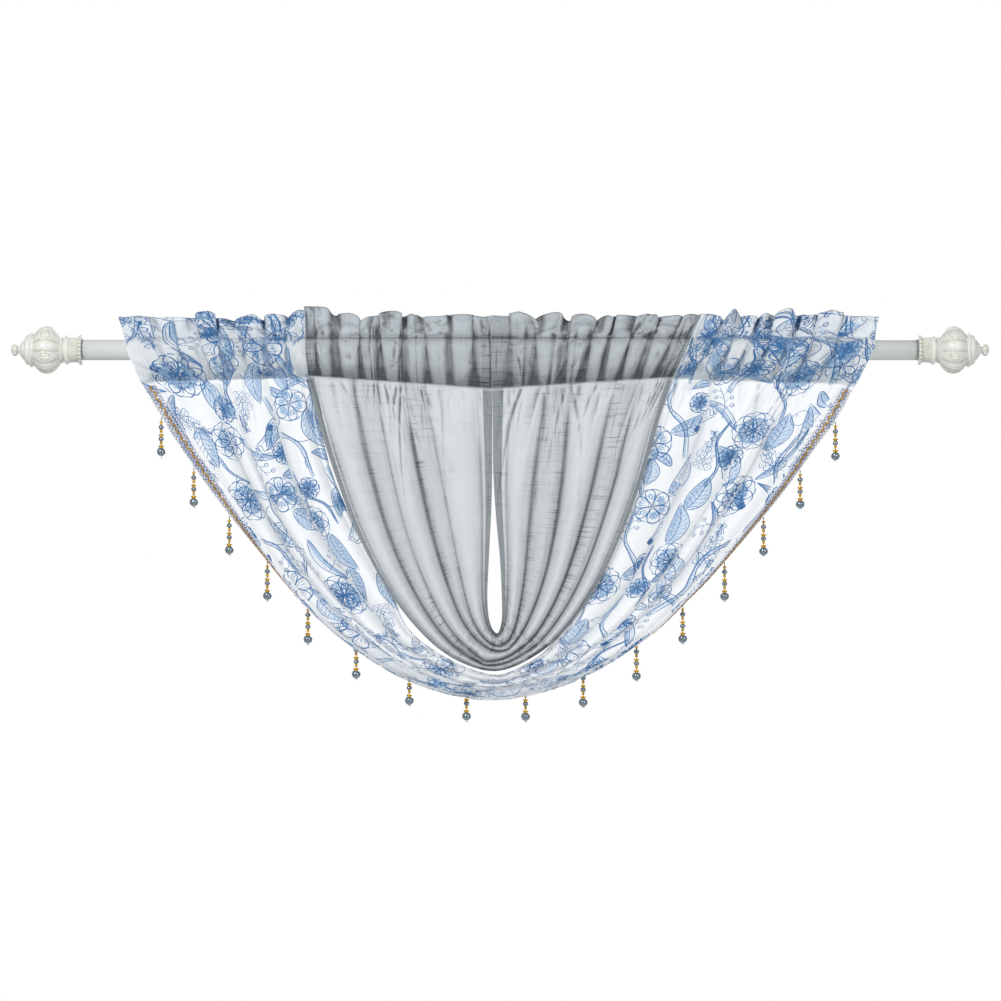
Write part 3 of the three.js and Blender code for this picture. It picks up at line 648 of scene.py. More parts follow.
def spread(material, value, low, high, to_low=0.0, to_high=1.0):
    """Maps a range of a value to another, and holds it at its ends."""
    return node(
        material,
        "ShaderNodeMapRange",
        Value=value,
        From_Min=low,
        From_Max=high,
        To_Min=to_low,
        To_Max=to_high,
    ).outputs[0]


def mixed(material, factor, a, b):
    """Two colours mixed. Each is a socket or a linear colour."""
    made = node(material, "ShaderNodeMix", {"data_type": "RGBA"}, Factor=factor, i6=a, i7=b)
    return made.outputs[2]


def noise(material, vector, scale, detail=2.0, roughness=0.5, stretch=(1, 1, 1)):
    """Noise on a vector in metres. Scale is in cells a metre before the stretch."""
    mapped = node(material, "ShaderNodeMapping", Vector=vector, Scale=stretch).outputs[0]
    return node(
        material, "ShaderNodeTexNoise", Vector=mapped, Scale=scale, Detail=detail, Roughness=roughness
    ).outputs[0]


def weave(material, vector, pitch):
    """The pattern of a plain weave, 0 in its holes and 1 on its threads. Pitch is in metres."""
    parts = node(material, "ShaderNodeSeparateXYZ", i0=vector)
    waves = []
    for k in (0, 1):
        turned = maths(material, "MULTIPLY", parts.outputs[k], 2 * math.pi / pitch)
        waves.append(maths(material, "SINE", turned))
    highest = maths(material, "MAXIMUM", waves[0], waves[1])
    settings = {"operation": "MULTIPLY_ADD"}
    return node(material, "ShaderNodeMath", settings, i0=highest, i1=0.5, i2=0.5).outputs[0]


def output(material, surface):
    node(material, "ShaderNodeOutputMaterial", Surface=surface)
    return material


def sheer_cloth(name, single, double, deep, slub, thread, glow_share):
    """A sheer cloth. Its weave lets light through between the threads, and it is denser and darker
    where it lies double. The shade attribute is painted shade in its valleys, its creases and where it
    turns edge on, and draws its colour towards deep. Slubs are thick places in the weft, a few
    centimetres long. A cell of noise is 1 mm before its stretch, so the weft's slubs are about 60 mm by
    1.6 mm."""
    m = new_material(name)
    flat = node(m, "ShaderNodeUVMap", {"uv_map": "flat"}).outputs[0]
    thick, shade, cover = (
        node(m, "ShaderNodeAttribute", {"attribute_name": key}).outputs["Fac"]
        for key in ("thick", "shade", "cover")
    )
    weft = noise(m, flat, 1000.0, 1.5, 0.55, (0.016, 0.62, 1))
    patch = spread(m, noise(m, flat, 1000.0, 1.0, 0.5, (0.028, 0.009, 1)), 0.4, 0.58, 0.3, 1.0)
    streak = maths(m, "MULTIPLY", spread(m, weft, 0.57, 0.66), patch)
    warp = spread(m, noise(m, flat, 1000.0, 1.0, 0.5, (0.8, 0.02, 1)), 0.3, 0.7, -0.5, 0.5)
    threads = weave(m, flat, thread)
    end = noise(m, flat, 1000.0, 1.5, 0.55, (0.62, 0.014, 1))
    streak = maths(m, "ADD", streak, maths(m, "MULTIPLY", spread(m, end, 0.61, 0.7), patch))
    slubs = maths(m, "MULTIPLY", streak, spread(m, thick, 0, 0.3, slub * 0.55, slub * 1.3))
    tone = maths(m, "ADD", slubs, maths(m, "MULTIPLY", warp, 0.14))
    body = mixed(m, thick, linear(single), linear(double))
    # Painted shade from the shade attribute, together with the slubs' and warp's own tone, draws the
    # colour towards deep
    darkness = maths(m, "ADD", maths(m, "MULTIPLY", shade, 0.92), tone, clamp=True)
    body = mixed(m, darkness, body, linear(deep))
    dense = maths(m, "ADD", cover, maths(m, "MULTIPLY", tone, 0.5))
    dense = maths(m, "ADD", dense, maths(m, "MULTIPLY", threads, 0.06), clamp=True)
    bump = node(
        m, "ShaderNodeBump", Strength=0.4, Distance=0.0006, Height=maths(m, "ADD", weft, threads)
    ).outputs[0]
    face = node(
        m,
        "ShaderNodeBsdfPrincipled",
        Base_Color=body,
        Roughness=0.85,
        Normal=bump,
        Specular_IOR_Level=0.15,
    ).outputs[0]
    glow = node(m, "ShaderNodeBsdfTranslucent", Color=body, Normal=bump).outputs[0]
    solid = node(m, "ShaderNodeMixShader", i0=glow_share, i1=face, i2=glow).outputs[0]
    clear = node(m, "ShaderNodeBsdfTransparent").outputs[0]
    return output(m, node(m, "ShaderNodeMixShader", i0=dense, i1=clear, i2=solid).outputs[0])


# The two cloths
def hang(cloth):
    """A cloth's grid, its flat places across and along it, its spans of rows and its shade."""
    grid, share, spans, shade = sheet_grid(cloth)
    u = share * cloth["flat_width"]
    if "band" in cloth["sections"]:
        u = u - cloth["columns"]["beyond"] * BAND_FLAT_WIDTH
    v = lengths_along(grid, 0)
    return grid, u, v, spans, shade


def make_columns(folds, per_fold, band_columns=0):
    """The columns of a cloth: across its band to the outer fold, then across each fold."""
    count = len(folds["left"]) - 1
    across_folds = np.repeat(np.arange(count), per_fold)
    fold = np.concatenate([np.zeros(band_columns, int), across_folds, [count - 1]])
    within_folds = np.tile(np.arange(per_fold) / per_fold, count)
    t = np.concatenate([np.zeros(band_columns), within_folds, [1.0]])
    beyond = np.zeros(len(t))
    beyond[:band_columns] = np.linspace(1, 0, band_columns, endpoint=False)
    return {"fold": fold, "t": t, "beyond": beyond}


# Each cloth: its tables, its columns and rows, how far a gather's loop leans over its neighbours, the
# number of loose creases, how dark and wide its painted shadows are, the folds where it lies double,
# how far its edges reach past the solid at the headings, pointed creases at the bottom (share, x and
# depth), how well it covers, its hems in columns and the flat width that is assumed for it.
grey = {
    "sections": GREY_SECTIONS,
    "folds": GREY_FOLDS,
    "left": GREY_LEFT,
    "right": GREY_RIGHT,
    "columns": make_columns(GREY_FOLDS, 18),
    "per_fold": 18,
    "undercut": (0.1, 0.17),
    "ruffle_rows": 14,
    "pocket_rows": 24,
    "body_rows": 230,
    "creases": 110,
    "shade_depth": 0.62,
    "shade_width": 2.6,
    "pocket_shade": 1.15,
    "doubled": (3, 4, 7, 8),
    "reach": (2.2, 1.0),
    "tips": ((0.28, -20, 8), (0.66, 12, 9)),
    "shade_steep": 0.28,
    "crease_shade": 0.7,
    "cover": {"single": 0.78, "heading": 0.88, "hem": 0.95},
    "hems": (13, 12),
    "flat_width": 300.0,
    "seed": 5,
}
printed = {
    "sections": PRINTED_SECTIONS,
    "folds": PRINTED_FOLDS,
    "left": PRINTED_LEFT,
    "right": PRINTED_RIGHT,
    "columns": make_columns(PRINTED_FOLDS, 22, BAND_COLUMNS),
    "per_fold": 22,
    "undercut": (0.1, 0.17),
    "ruffle_rows": 14,
    "pocket_rows": 24,
    "body_rows": 260,
    "creases": 80,
    "shade_depth": 0.6,
    "shade_width": 5.0,
    "pocket_shade": 0.3,
    "doubled": (),
    "reach": (0.8, 2.4),
    "tips": (),
    "shade_steep": 0.25,
    "crease_shade": 0.5,
    "cover": {"single": 0.68, "heading": 0.82, "hem": 0.88},
    "hems": (0, 10),
    "flat_width": 230.0,
    "seed": 50,
}


def dressed_mesh(name, cloth):
    """A cloth's mesh with attributes for its double places, its painted shade and how well it covers.
    """
    grid, u, v, spans, shade = hang(cloth)
    hems = cloth["hems"]
    rows, columns = grid.shape[:2]
    heading = np.zeros((rows, columns))
    heading[: spans["left"] + 1] = heading[spans["right"] - 1 :] = 1
    hem = np.zeros((rows, columns))
    hem[:, : hems[0]] = hem[:, columns - hems[1] :] = 1
    cover = cloth["cover"]
    cover = np.maximum(lerp(cover["single"], cover["heading"], heading), cover["hem"] * hem)
    # Painted shade also raises the cover, so less of the white behind shows through the shaded places
    cover = np.clip(cover + 0.35 * shade, 0, 1)
    layered = np.isin(cloth["columns"]["fold"], cloth["doubled"]).astype(float)
    layered = np.convolve(layered, np.ones(5) / 5, "same")
    thick = np.maximum(hem * (1 - 0.7 * heading), 0.3 * layered * (1 - heading))
    mesh = grid_mesh(name, grid, u, v, thick=thick, shade=shade, cover=cover)
    return mesh, {"grid": grid, "normals": grid_normals(grid), "u": u, "v": v}, spans


mesh, grey_sheet, grey_spans = dressed_mesh("grey_cloth", grey)
grey_cloth = new_object("grey_cloth", mesh)
# A matt sheer weave with strong slubs: short dark dashes, mid grey where it lies double, and dark
# grey painted shade in its valleys and creases
grey_cloth.data.materials.append(
    sheer_cloth("grey slub voile", "c8ced2", "8f9598", "505457", 0.42, WEAVE_PITCH, 0.3)
)
grey_flat = tuple((grey_sheet[k][-1] - grey_sheet[k][0]) * MM for k in "uv")

mesh, printed_sheet, printed_spans = dressed_mesh("printed_cloth", printed)
printed_cloth = new_object("printed_cloth", mesh)
# A smoother and clearer white weave: faint slubs, and soft blue grey shadows in its folds
printed_cloth.data.materials.append(
    sheer_cloth("white printed voile", "f3f6f9", "ccd6e0", "98a3ae", 0.1, WEAVE_PITCH, 0.35)
)
printed_sheet |= {"band": BAND_COLUMNS, "per_fold": printed["per_fold"]}
printed_sheet |= {"crests": (1, 3, 5, 7), "valleys": (2, 4, 6)}
printed_flat = tuple((printed_sheet[k][-1] - printed_sheet[k][0]) * MM for k in "uv")


# Points on a cloth, and its braid
def on_sheet(sheet, row, column, lift):
    """Points in mm on a cloth's grid at fractional rows and columns, lifted off its face."""
    rows, columns = sheet["grid"].shape[:2]
    row, column = np.clip(row, 0, rows - 1.001), np.clip(column, 0, columns - 1.001)
    i, j = row.astype(int), column.astype(int)
    s, t = (row - i)[..., None], (column - j)[..., None]
    found = []
    for values in (sheet["grid"], sheet["normals"]):
        upper = lerp(values[i, j], values[i, j + 1], t)
        lower = lerp(values[i + 1, j], values[i + 1, j + 1], t)
        found.append(lerp(upper, lower, s))
    square = found[1] / np.linalg.norm(found[1], axis=-1, keepdims=True)
    return found[0] + square * np.asarray(lift)[..., None]


def cords(name, lines, radius, sides=0):
    """Round cords through lines of points in mm, as one mesh."""
    curve = bpy.data.curves.new(name, "CURVE")
    curve.dimensions = "3D"
    curve.bevel_depth = radius * MM
    curve.bevel_resolution = sides
    curve.use_fill_caps = True
    for points in lines:
        spline = curve.splines.new("POLY")
        spline.points.add(len(points) - 1)
        places = np.pad(points * MM, ((0, 0), (0, 1)), constant_values=1)
        spline.points.foreach_set("co", places.ravel())
    holder = bpy.data.objects.new(name, curve)
    bpy.context.scene.collection.objects.link(holder)
    mesh = bpy.data.meshes.new_from_object(
        holder.evaluated_get(bpy.context.evaluated_depsgraph_get())
    )
    bpy.data.objects.remove(holder)
    bpy.data.curves.remove(curve)
    return mesh


def braid_pieces(sheet, spans, band_columns):
    """The braid's threads, cords and gold wave, laid on the front of the printed cloth's band."""
    first, last = spans["left"], spans["right"] - 1
    body = sheet["grid"][first : last + 1]
    edge = far_along(body[:, 0])
    band_widths = np.linalg.norm(np.diff(body[:, : band_columns + 1], axis=1), axis=2).sum(axis=1)
    begin, end = BRAID_ENDS[0], edge[-1] - BRAID_ENDS[1]

    def lay(s, w, lift):
        row = np.interp(s, edge, np.arange(len(edge)))
        column = w / np.interp(s, edge, band_widths) * band_columns
        return on_sheet(sheet, first + row, column, lift)

    s = np.arange(begin, end, 2.0)
    warps = [lay(s, w + 0.45 * np.sin(2 * math.pi * s / 4.6 + w), 0.7 + 0 * s) for w in BRAID_WARPS]
    crossing = []
    for k in range(BRAID_THREADS):
        turn = (s / BRAID_SWING + k / BRAID_THREADS) % 1
        swing = 1 - 4 * np.abs(turn - 0.5)
        height = 0.95 + 0.3 * np.cos(2 * math.pi * turn * BRAID_THREADS)
        crossing.append(lay(s, BRAID_WIDTH / 2 * (1 + 0.86 * swing), height))
    s = np.arange(begin, end, BRAID_PITCH / 8)
    curl = np.arange(len(s)) * math.pi / 4
    loops = [
        lay(s + 1.1 * np.sin(curl), w + way * 1.1 * np.cos(curl), 1.0 + 0 * s)
        for w, way in ((1.3, -1), (BRAID_WIDTH - 1.3, 1))
    ]
    s = np.arange(begin + 0.5, end, 1.0)
    middle = BRAID_WIDTH / 2 + 0.4
    wave = middle + GOLD_WAVE_SWING * np.sin(2 * math.pi * s / GOLD_WAVE_PITCH)
    # The side cords' pale colour is a painted highlight along the gold wave's edges
    sides = [lay(s, middle + k + 0 * s, 0.9 + 0 * s) for k in (-2.9, 2.9)]
    return {
        "braid_warps": cords("braid_warps", warps, 0.3),
        "braid_crossing": cords("braid_crossing", crossing, 0.33),
        "braid_loops": cords("braid_loops", loops, 0.4),
        "braid_side_cords": cords("braid_side_cords", sides, 0.42, 1),
        "braid_gold_cord": cords("braid_gold_cord", [lay(s, wave, 1.5 + 0 * s)], 0.95, 2),
    }


# Rod, finials and drops
def turned(name, profile, steps, shape=None):
    """A turned piece about the X axis from a profile of (along, radius) in mm. shape gives each
    vertex's radius from its distance along, its radius and its angle from the front downwards."""
    bm = bmesh.new()
    line = [bm.verts.new((a, 0, -r)) for a, r in profile]
    edges = [bm.edges.new(pair) for pair in zip(line, line[1:])]
    bmesh.ops.spin(
        bm, geom=line + edges, cent=(0, 0, 0), axis=(1, 0, 0), angle=2 * math.pi, steps=steps
    )
    bmesh.ops.remove_doubles(bm, verts=bm.verts, dist=1e-4)
    bmesh.ops.recalc_face_normals(bm, faces=bm.faces)
    mesh = finished(bm, name)
    place = np.empty(len(mesh.vertices) * 3)
    mesh.vertices.foreach_get("co", place)
    place = place.reshape(-1, 3)
    radius = np.hypot(place[:, 1], place[:, 2])
    angle = np.arctan2(-place[:, 2], -place[:, 1])
    made = shape(place[:, 0], radius, angle) if shape else radius
    place = np.stack([place[:, 0], -made * np.cos(angle), -made * np.sin(angle)], -1)
    mesh.vertices.foreach_set("co", place.ravel())
    recess = np.clip((radius - made) / 1.6, -1, 1)
    mesh.attributes.new("recess", "FLOAT", "POINT").data.foreach_set("value", recess)
    return mesh


def fine_profile(points, step):
    """A profile with points added so that none are further apart than step."""
    made = [points[0]]
    for a, b in zip(points, points[1:]):
        count = max(1, math.ceil(math.dist(a, b) / step))
        shares = [k / count for k in range(1, count + 1)]
        made += [(lerp(a[0], b[0], t), lerp(a[1], b[1], t)) for t in shares]
    return made


def finial_profile():
    """The finial from the bottom of its socket round to the tip of its bud."""
    bore = ROD_RADIUS + 0.3
    line = fine_profile([(12, 0.0), (12, bore), (0, bore)], 6)
    line += fine_profile([(0, 17.5), (0.6, 19.2), (2.6, 19.7), (4.2, 18.2), (4.6, 16.6)], 0.8)
    line += fine_profile([(5.2, 16.2), (10.5, 16.0), (16.2, 16.5), (17.0, 17.2)], 1.2)
    line += [(17.2 + 5.2 * t, 17.2 + 1.8 * math.sin(math.pi * t)) for t in np.linspace(0.1, 1, 8)]
    line += fine_profile([(22.8, 15.0), (24.6, 14.6), (25.2, 15.6), (27.2, 15.8)], 0.8)
    melon = np.linspace(0.055, 0.945, 56)
    line += [(27.2 + 37.2 * t, 14.5 + 16.3 * math.sin(math.pi * t**1.04) ** 0.62) for t in melon]
    line += fine_profile([(64.6, 21.0), (67.2, 21.0), (67.4, 20.2)], 0.9)
    line += [(67.4 + 7.2 * math.sin(t), 13.2 + 7.0 * math.cos(t)) for t in np.linspace(0.1, 1.4, 9)]
    line += fine_profile([(74.6, 12.6), (75.2, 12.6), (76.0, 13.0), (80.6, 7.4), (81.6, 4.2)], 1.0)
    bud = np.linspace(0.12, 1, 16)
    line += [(81.6 + 11.4 * t, 7.9 * math.sin(math.pi * min(t * 0.97, 1.0)) ** 0.62) for t in bud[:-1]]
    return line + [(93.0, 0.0)]


def finial_shape(along, radius, angle):
    """Twelve melon lobes with carved flowers on every other one, flutes, scallops and petals."""
    lobe = np.degrees(angle) - 20.5
    across = (lobe + 15) % 30 - 15
    outside = radius > 14
    on_melon = outside & (along > 27.3) & (along < 64.2)
    bulge = 1 - np.sqrt(1 - (across / 15.4) ** 2)
    made = np.where(on_melon, radius - 1.05 * bulge * np.clip((radius - 14) / 9, 0, 1), radius)
    flowered = np.round(lobe / 30).astype(int) % 2 == 0
    a, b = np.radians(across) * radius, along - 45.5
    out = np.hypot(a, b)
    turn = np.arctan2(b, a)
    petal = np.exp(-(((out - 3.4) / 1.7) ** 2)) * (0.5 + 0.5 * np.cos(5 * turn)) ** 0.7
    oval = np.hypot(a / 6.4, b / 9.0)
    flower = 1.3 * petal + 1.1 * np.exp(-((out / 1.1) ** 2)) + 0.7 * np.exp(-(((oval - 1) / 0.09) ** 2))
    made = np.where(on_melon & flowered, made + flower * 0.8 - 0.5 * (oval < 1), made)
    sprig = 0.45 * np.exp(-((np.abs(a) - 2.2 - 0.06 * (b + 8) ** 2 * 0.1) ** 2) / 0.5)
    made = np.where(on_melon & ~flowered, made + sprig * (np.abs(b) < 13), made)
    collar = outside & (along > 5) & (along < 16.8)
    made = np.where(collar, made - 0.75 * np.abs(np.sin(21 * angle)), made)
    rim = outside & (along >= 0) & (along < 4.5) & (radius > 16.8)
    made = np.where(rim, made - 0.9 * np.abs(np.sin(10.5 * angle)) ** 2, made)
    bud = along > 82.4
    return np.where(bud, made * (1.03 - 0.1 * np.abs(np.sin(3 * angle + 0.12 * (along - 82)))), made)


def add_beads(bm, centres, radius, segments=8, rings=6, flatten=1.0, material=0):
    """Small balls at places in mm."""
    for centre in centres:
        scale = Matrix.Diagonal((1, 1, flatten, 1))
        made = bmesh.ops.create_uvsphere(
            bm,
            u_segments=segments,
            v_segments=rings,
            radius=radius,
            matrix=Matrix.Translation(centre) @ scale,
        )
        for face in {f for vert in made["verts"] for f in vert.link_faces}:
            face.material_index = material


def carved_finial():
    """A finial in mm with its mouth at 0 along the X axis, and its two rings of beads."""
    body = turned("carved_finial", finial_profile(), 252, finial_shape)
    rings = bpy.data.meshes.new("carved_finial_beads")
    bm = bmesh.new()
    for along, radius, size, count in ((26.2, 16.0, 1.25, 40), (65.9, 20.9, 1.55, 40)):
        turns = np.arange(count) * 2 * math.pi / count
        add_beads(bm, [(along, -radius * math.cos(t), -radius * math.sin(t)) for t in turns], size)
    bm.to_mesh(rings)
    bm.clear()
    bm.from_mesh(body)
    bm.from_mesh(rings)
    bm.to_mesh(body)
    bm.free()
    return body


def finial_mesh(name, carved, way):
    """The carved finial at the rod's end, pointing left or right."""
    mesh = carved.copy()
    mesh.name = name
    at_mouth = Matrix.Translation((way * FINIAL_MOUTH, 0, 0))
    mesh.transform(Matrix.Scale(MM, 4) @ at_mouth @ Matrix.Diagonal((way, 1, 1, 1)))
    if way < 0:
        mesh.flip_normals()
    return mesh


def drop_mesh(name, x, y, top):
    """A threaded drop: gold and pearl beads on a thread, from the braid's edge down."""
    bm = bmesh.new()
    kinds = ("thread", "gold", "pearl", "clear")
    for kind, below, radius, flatten in DROP_BEADS:
        add_beads(bm, [(x, y, top - below)], radius, 16, 10, flatten, kinds.index(kind))
    bmesh.ops.create_cone(
        bm,
        cap_ends=True,
        segments=8,
        radius1=DROP_THREAD_RADIUS,
        radius2=DROP_THREAD_RADIUS,
        depth=DROP_THREAD_LENGTH,
        matrix=Matrix.Translation((x, y, top - DROP_THREAD_LENGTH / 2)),
    )
    bmesh.ops.scale(bm, vec=(MM, MM, MM), verts=bm.verts)
    return finished(bm, name)


def plain_material(name, colour, roughness, **more):
    """A material of one colour, with further inputs of the surface by name."""
    m = new_material(name)
    inputs = {"Base_Color": linear(colour), "Roughness": roughness, **more}
    return output(m, node(m, "ShaderNodeBsdfPrincipled", **inputs).outputs[0])


def carved_paint(name, colour, recess_colour):
    """Satin paint over carving, darker and browner where the carving is cut in."""
    m = new_material(name)
    recess = node(m, "ShaderNodeAttribute", {"attribute_name": "recess"}).outputs["Fac"]
    place = node(m, "ShaderNodeTexCoord").outputs["Object"]
    worn = maths(m, "MULTIPLY", noise(m, place, 220.0, 3.0), 0.5)
    factor = spread(m, maths(m, "ADD", recess, worn), 0.3, 0.95)
    colour = mixed(m, factor, linear(colour), linear(recess_colour))
    face = node(m, "ShaderNodeBsdfPrincipled", Base_Color=colour, Roughness=0.42, Coat_Weight=0.2)
    return output(m, face.outputs[0])


# Satin lacquer on steel: a soft light line along the tube
rod_paint = plain_material("pale grey lacquered steel tube", "d2d6d4", 0.33, Coat_Weight=0.3)
# Painted cast resin: warmer and duller than the rod, browner and darker where the carving is cut in
finial_paint = carved_paint("pale grey painted resin", "d2d3cc", "a39f8c")
# Matt spun thread: the dark criss-cross of the braid
thread_lilac = plain_material("lilac grey braid thread", "5a5a6c", 0.8)
# Smoother thread: the pale ground and looped edges of the braid
thread_pale = plain_material("pale silver braid thread", "ececf4", 0.6)
# Twisted satin cord in light lavender: a painted highlight along each edge of the gold wave
cord_highlight = plain_material("light lavender highlight cord", "b8c4e8", 0.5, Sheen_Weight=0.3)
# Metallic yarn seen from afar: a warm ochre wave without a sharp shine
cord_gold = plain_material("gold lurex cord", "a87c04", 0.5)
# Plated metal: small bright yellow glints between the pearls
bead_gold = plain_material("gold plated bead", "d6ab2c", 0.28, Metallic=1.0)
# Coated glass pearl: dark and cool, with one small sharp highlight
bead_pearl = plain_material("steel grey glass pearl", "6c7a85", 0.16, Coat_Weight=1.0, Metallic=0.5)
# Clear acrylic: a tiny light tip at the bottom of each drop
bead_clear = plain_material("clear acrylic bead", "f2f4f4", 0.05, Transmission_Weight=0.9, IOR=1.45)

low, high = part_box("rod")
left_end, right_end = low[0] / MM, high[0] / MM
rod_line = [(left_end, 0.0), (left_end, ROD_RADIUS), (right_end, ROD_RADIUS), (right_end, 0.0)]
rod_mesh = turned("rod_tube", rod_line, 96)
rod_mesh.transform(Matrix.Scale(MM, 4))
rod_piece = new_object("rod_tube", rod_mesh, smooth=False)
rod_piece.data.materials.append(rod_paint)
for face in rod_piece.data.polygons:
    face.use_smooth = abs(face.normal.x) < 0.5
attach(rod_piece, "root")
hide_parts("rod")

carved = carved_finial()
for side, way in (("left", -1), ("right", 1)):
    piece = new_object("carved_finial_" + side, finial_mesh("carved_finial_" + side, carved, way))
    piece.data.materials.append(finial_paint)
    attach(piece, "root")
    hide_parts("finial_" + side)

for n in range(1, 17):
    cad = f"bead_drop_{n:02d}"
    low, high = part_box(cad)
    x, y = ((low[k] + high[k]) / 2 / MM for k in (0, 1))
    piece = new_object(f"threaded_drop_{n:02d}", drop_mesh(cad, x, y, high[2] / MM))
    for material in (thread_lilac, bead_gold, bead_pearl, bead_clear):
        piece.data.materials.append(material)
    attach(piece, "root")
    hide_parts(cad)

braid_yarns = {
    "braid_warps": thread_pale,
    "braid_crossing": thread_lilac,
    "braid_loops": thread_pale,
    "braid_side_cords": cord_highlight,
    "braid_gold_cord": cord_gold,
}
for name, mesh in braid_pieces(printed_sheet, printed_spans, BAND_COLUMNS).items():
    piece = new_object(name, mesh)
    piece.data.materials.append(braid_yarns[name])
    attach(piece, "root")
    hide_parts("braid")


# The printed cloth's pattern: a common flower, leaf and berry repeat in blue line
def bent(points, count):
    """A smooth line of complex places through a few of them."""
    points = np.asarray(points, complex)
    pairs = np.stack([points.real, points.imag], -1)
    made = smooth_curve(pairs, np.linspace(0, len(points) - 1, count))
    return made[:, 0] + 1j * made[:, 1]


def taper(count, at_start=0.35, at_end=0.35):
    t = np.linspace(0, 1, count)
    return np.minimum(1, np.minimum(at_start + 6 * t, at_end + 6 * (1 - t)))


class Drawing:
    """Strokes and washes in flat mm. Each is two edges of complex places and a depth of ink."""

    def __init__(self):
        self.lines, self.washes = [], []

    def stroke(self, points, width=0.8, ink=0.5, spacing=1.8, ends=(0.35, 0.35)):
        points = np.asarray(points, complex)
        lengths = np.concatenate([[0], np.cumsum(np.abs(np.diff(points)))])
        count = max(3, int(lengths[-1] / spacing) + 1)
        even = np.linspace(0, lengths[-1], count)
        line = np.interp(even, lengths, points.real) + 1j * np.interp(even, lengths, points.imag)
        along = np.gradient(line)
        square = 1j * along / np.maximum(np.abs(along), 1e-9)
        half = 0.42 * width * taper(count, *ends)
        self.lines.append((line + square * half, line - square * half, ink))

    def wash(self, left, right, ink=0.4, spacing=3.0):
        left, right = np.asarray(left, complex), np.asarray(right, complex)
        longest = max(np.abs(np.diff(left)).sum(), np.abs(np.diff(right)).sum())
        count = max(3, int(longest / spacing) + 1)
        even = np.linspace(0, len(left) - 1, count)
        index = np.arange(len(left))
        sides = [
            np.interp(even, index, edge.real) + 1j * np.interp(even, index, edge.imag)
            for edge in (left, right)
        ]
        self.washes.append((sides[0], sides[1], ink))

    def add(self, other, place, turn=0.0, size=1.0, flip=False):
        """Another drawing set down at a place, turned by degrees and sized."""
        spin = size * np.exp(1j * math.radians(turn))
        for kept, given in ((self.lines, other.lines), (self.washes, other.washes)):
            for a, b, ink in given:
                if flip:
                    a, b = np.conj(b), np.conj(a)
                kept.append((place + spin * a, place + spin * b, ink))


def leaf(length, width, bend=0.15, veins=6, teeth=0, washed=True):
    """A leaf along the first axis: edge, midrib, side veins and fine shading on one half."""
    made = Drawing()
    t = np.linspace(0, 1, 40)
    spine = length * (t + 1j * bend * np.sin(math.pi * t))
    swell = np.sin(math.pi * t**0.8) ** 0.9
    jag = 1 + (0.13 * ((t * teeth) % 1) if teeth else 0)
    top, low = spine + 1j * width / 2 * swell * jag, spine - 1j * width / 2 * swell * jag
    made.stroke(top, 1.15, 0.65)
    made.stroke(low, 1.15, 0.65)
    made.stroke(spine[:38], 0.9, 0.75)
    for k in range(veins):
        s = (k + 0.8) / (veins + 0.8)
        i = int(s * 32)
        ahead = min(39, i + 6)
        for edge in (top, low):
            tip = lerp(spine[ahead], edge[ahead], 0.86)
            made.stroke(bent([spine[i], lerp(spine[i], tip, 0.5) + 0.02 * length, tip], 8), 0.55, 0.5)
    for k in range(int(length / 1.7)):
        s = (k + 0.5) / int(length / 1.7)
        i = 2 + int(s * 34)
        made.stroke([lerp(spine[i], low[i], 0.3), lerp(spine[i + 1], low[i + 1], 0.95)], 0.45, 0.4)
        if k % 2:
            made.stroke([lerp(spine[i], top[i], 0.55), lerp(spine[i + 1], top[i + 1], 0.92)], 0.45, 0.4)
    if washed:
        made.wash(spine[2:38], lerp(spine, low, 0.92)[2:38], 0.55)
        made.wash(lerp(spine, top, 0.9)[2:38], spine[2:38], 0.22)
    return made


def blade(length, width, bend=0.2):
    """A narrow leaf with a midrib and long fine lines."""
    made = Drawing()
    t = np.linspace(0, 1, 30)
    spine = length * (t + 1j * bend * np.sin(math.pi * t))
    swell = np.sin(math.pi * t**0.7) ** 0.8
    for k, weight in ((-1, 1.0), (1, 1.0), (0, 0.8), (-0.5, 0.45), (0.5, 0.45), (-0.75, 0.4)):
        made.stroke(spine + 1j * k * width / 2 * swell, weight, 0.6 if abs(k) == 1 else 0.45)
    made.wash(spine, spine - 1j * width / 2 * swell, 0.45)
    return made


def petal(length, width, notch=0.1, lines=4, washed=True):
    made = Drawing()
    t = np.linspace(0, 1, 24)
    half = width / 2 * np.sin(math.pi * t**1.25) ** 0.75
    reach = length * (t - notch * np.exp(-(((t - 1) / 0.06) ** 2)))
    made.stroke(reach + 1j * half, 1.1, 0.6)
    made.stroke(reach - 1j * half, 1.1, 0.6)
    for k in range(lines + 2):
        side = (k + 0.5) / (lines + 2) * 2 - 1
        stop = 12 + int(8 * (1 - abs(side)))
        made.stroke((reach + 1j * side * 0.8 * half)[7:stop], 0.5, 0.45)
    if washed:
        made.wash((reach + 0.7j * half)[7:16], (reach - 0.7j * half)[7:16], 0.3)
    return made


def ring(radius, count=14):
    return radius * np.exp(2j * math.pi * np.linspace(0, 1, count))


def bloom(radius, petals=6, centre=0.2):
    """An open flower seen from in front."""
    made = Drawing()
    for k in range(petals):
        wide = radius * 1.25 * math.sin(math.pi / petals) * 2
        made.add(petal(radius, wide), 0, 360 * k / petals + 8 * (k % 2))
    for size in (centre, centre * 0.55):
        made.stroke(ring(radius * size), 0.7, 0.8)
    for k in range(9):
        out = radius * (centre + 0.16 + 0.05 * (k % 2)) * np.exp(1j * 2 * math.pi * k / 9)
        made.stroke([out * 0.62, out], 0.45, 0.7)
        made.stroke(out + ring(radius * 0.035, 6), 0.6, 0.8)
    return made


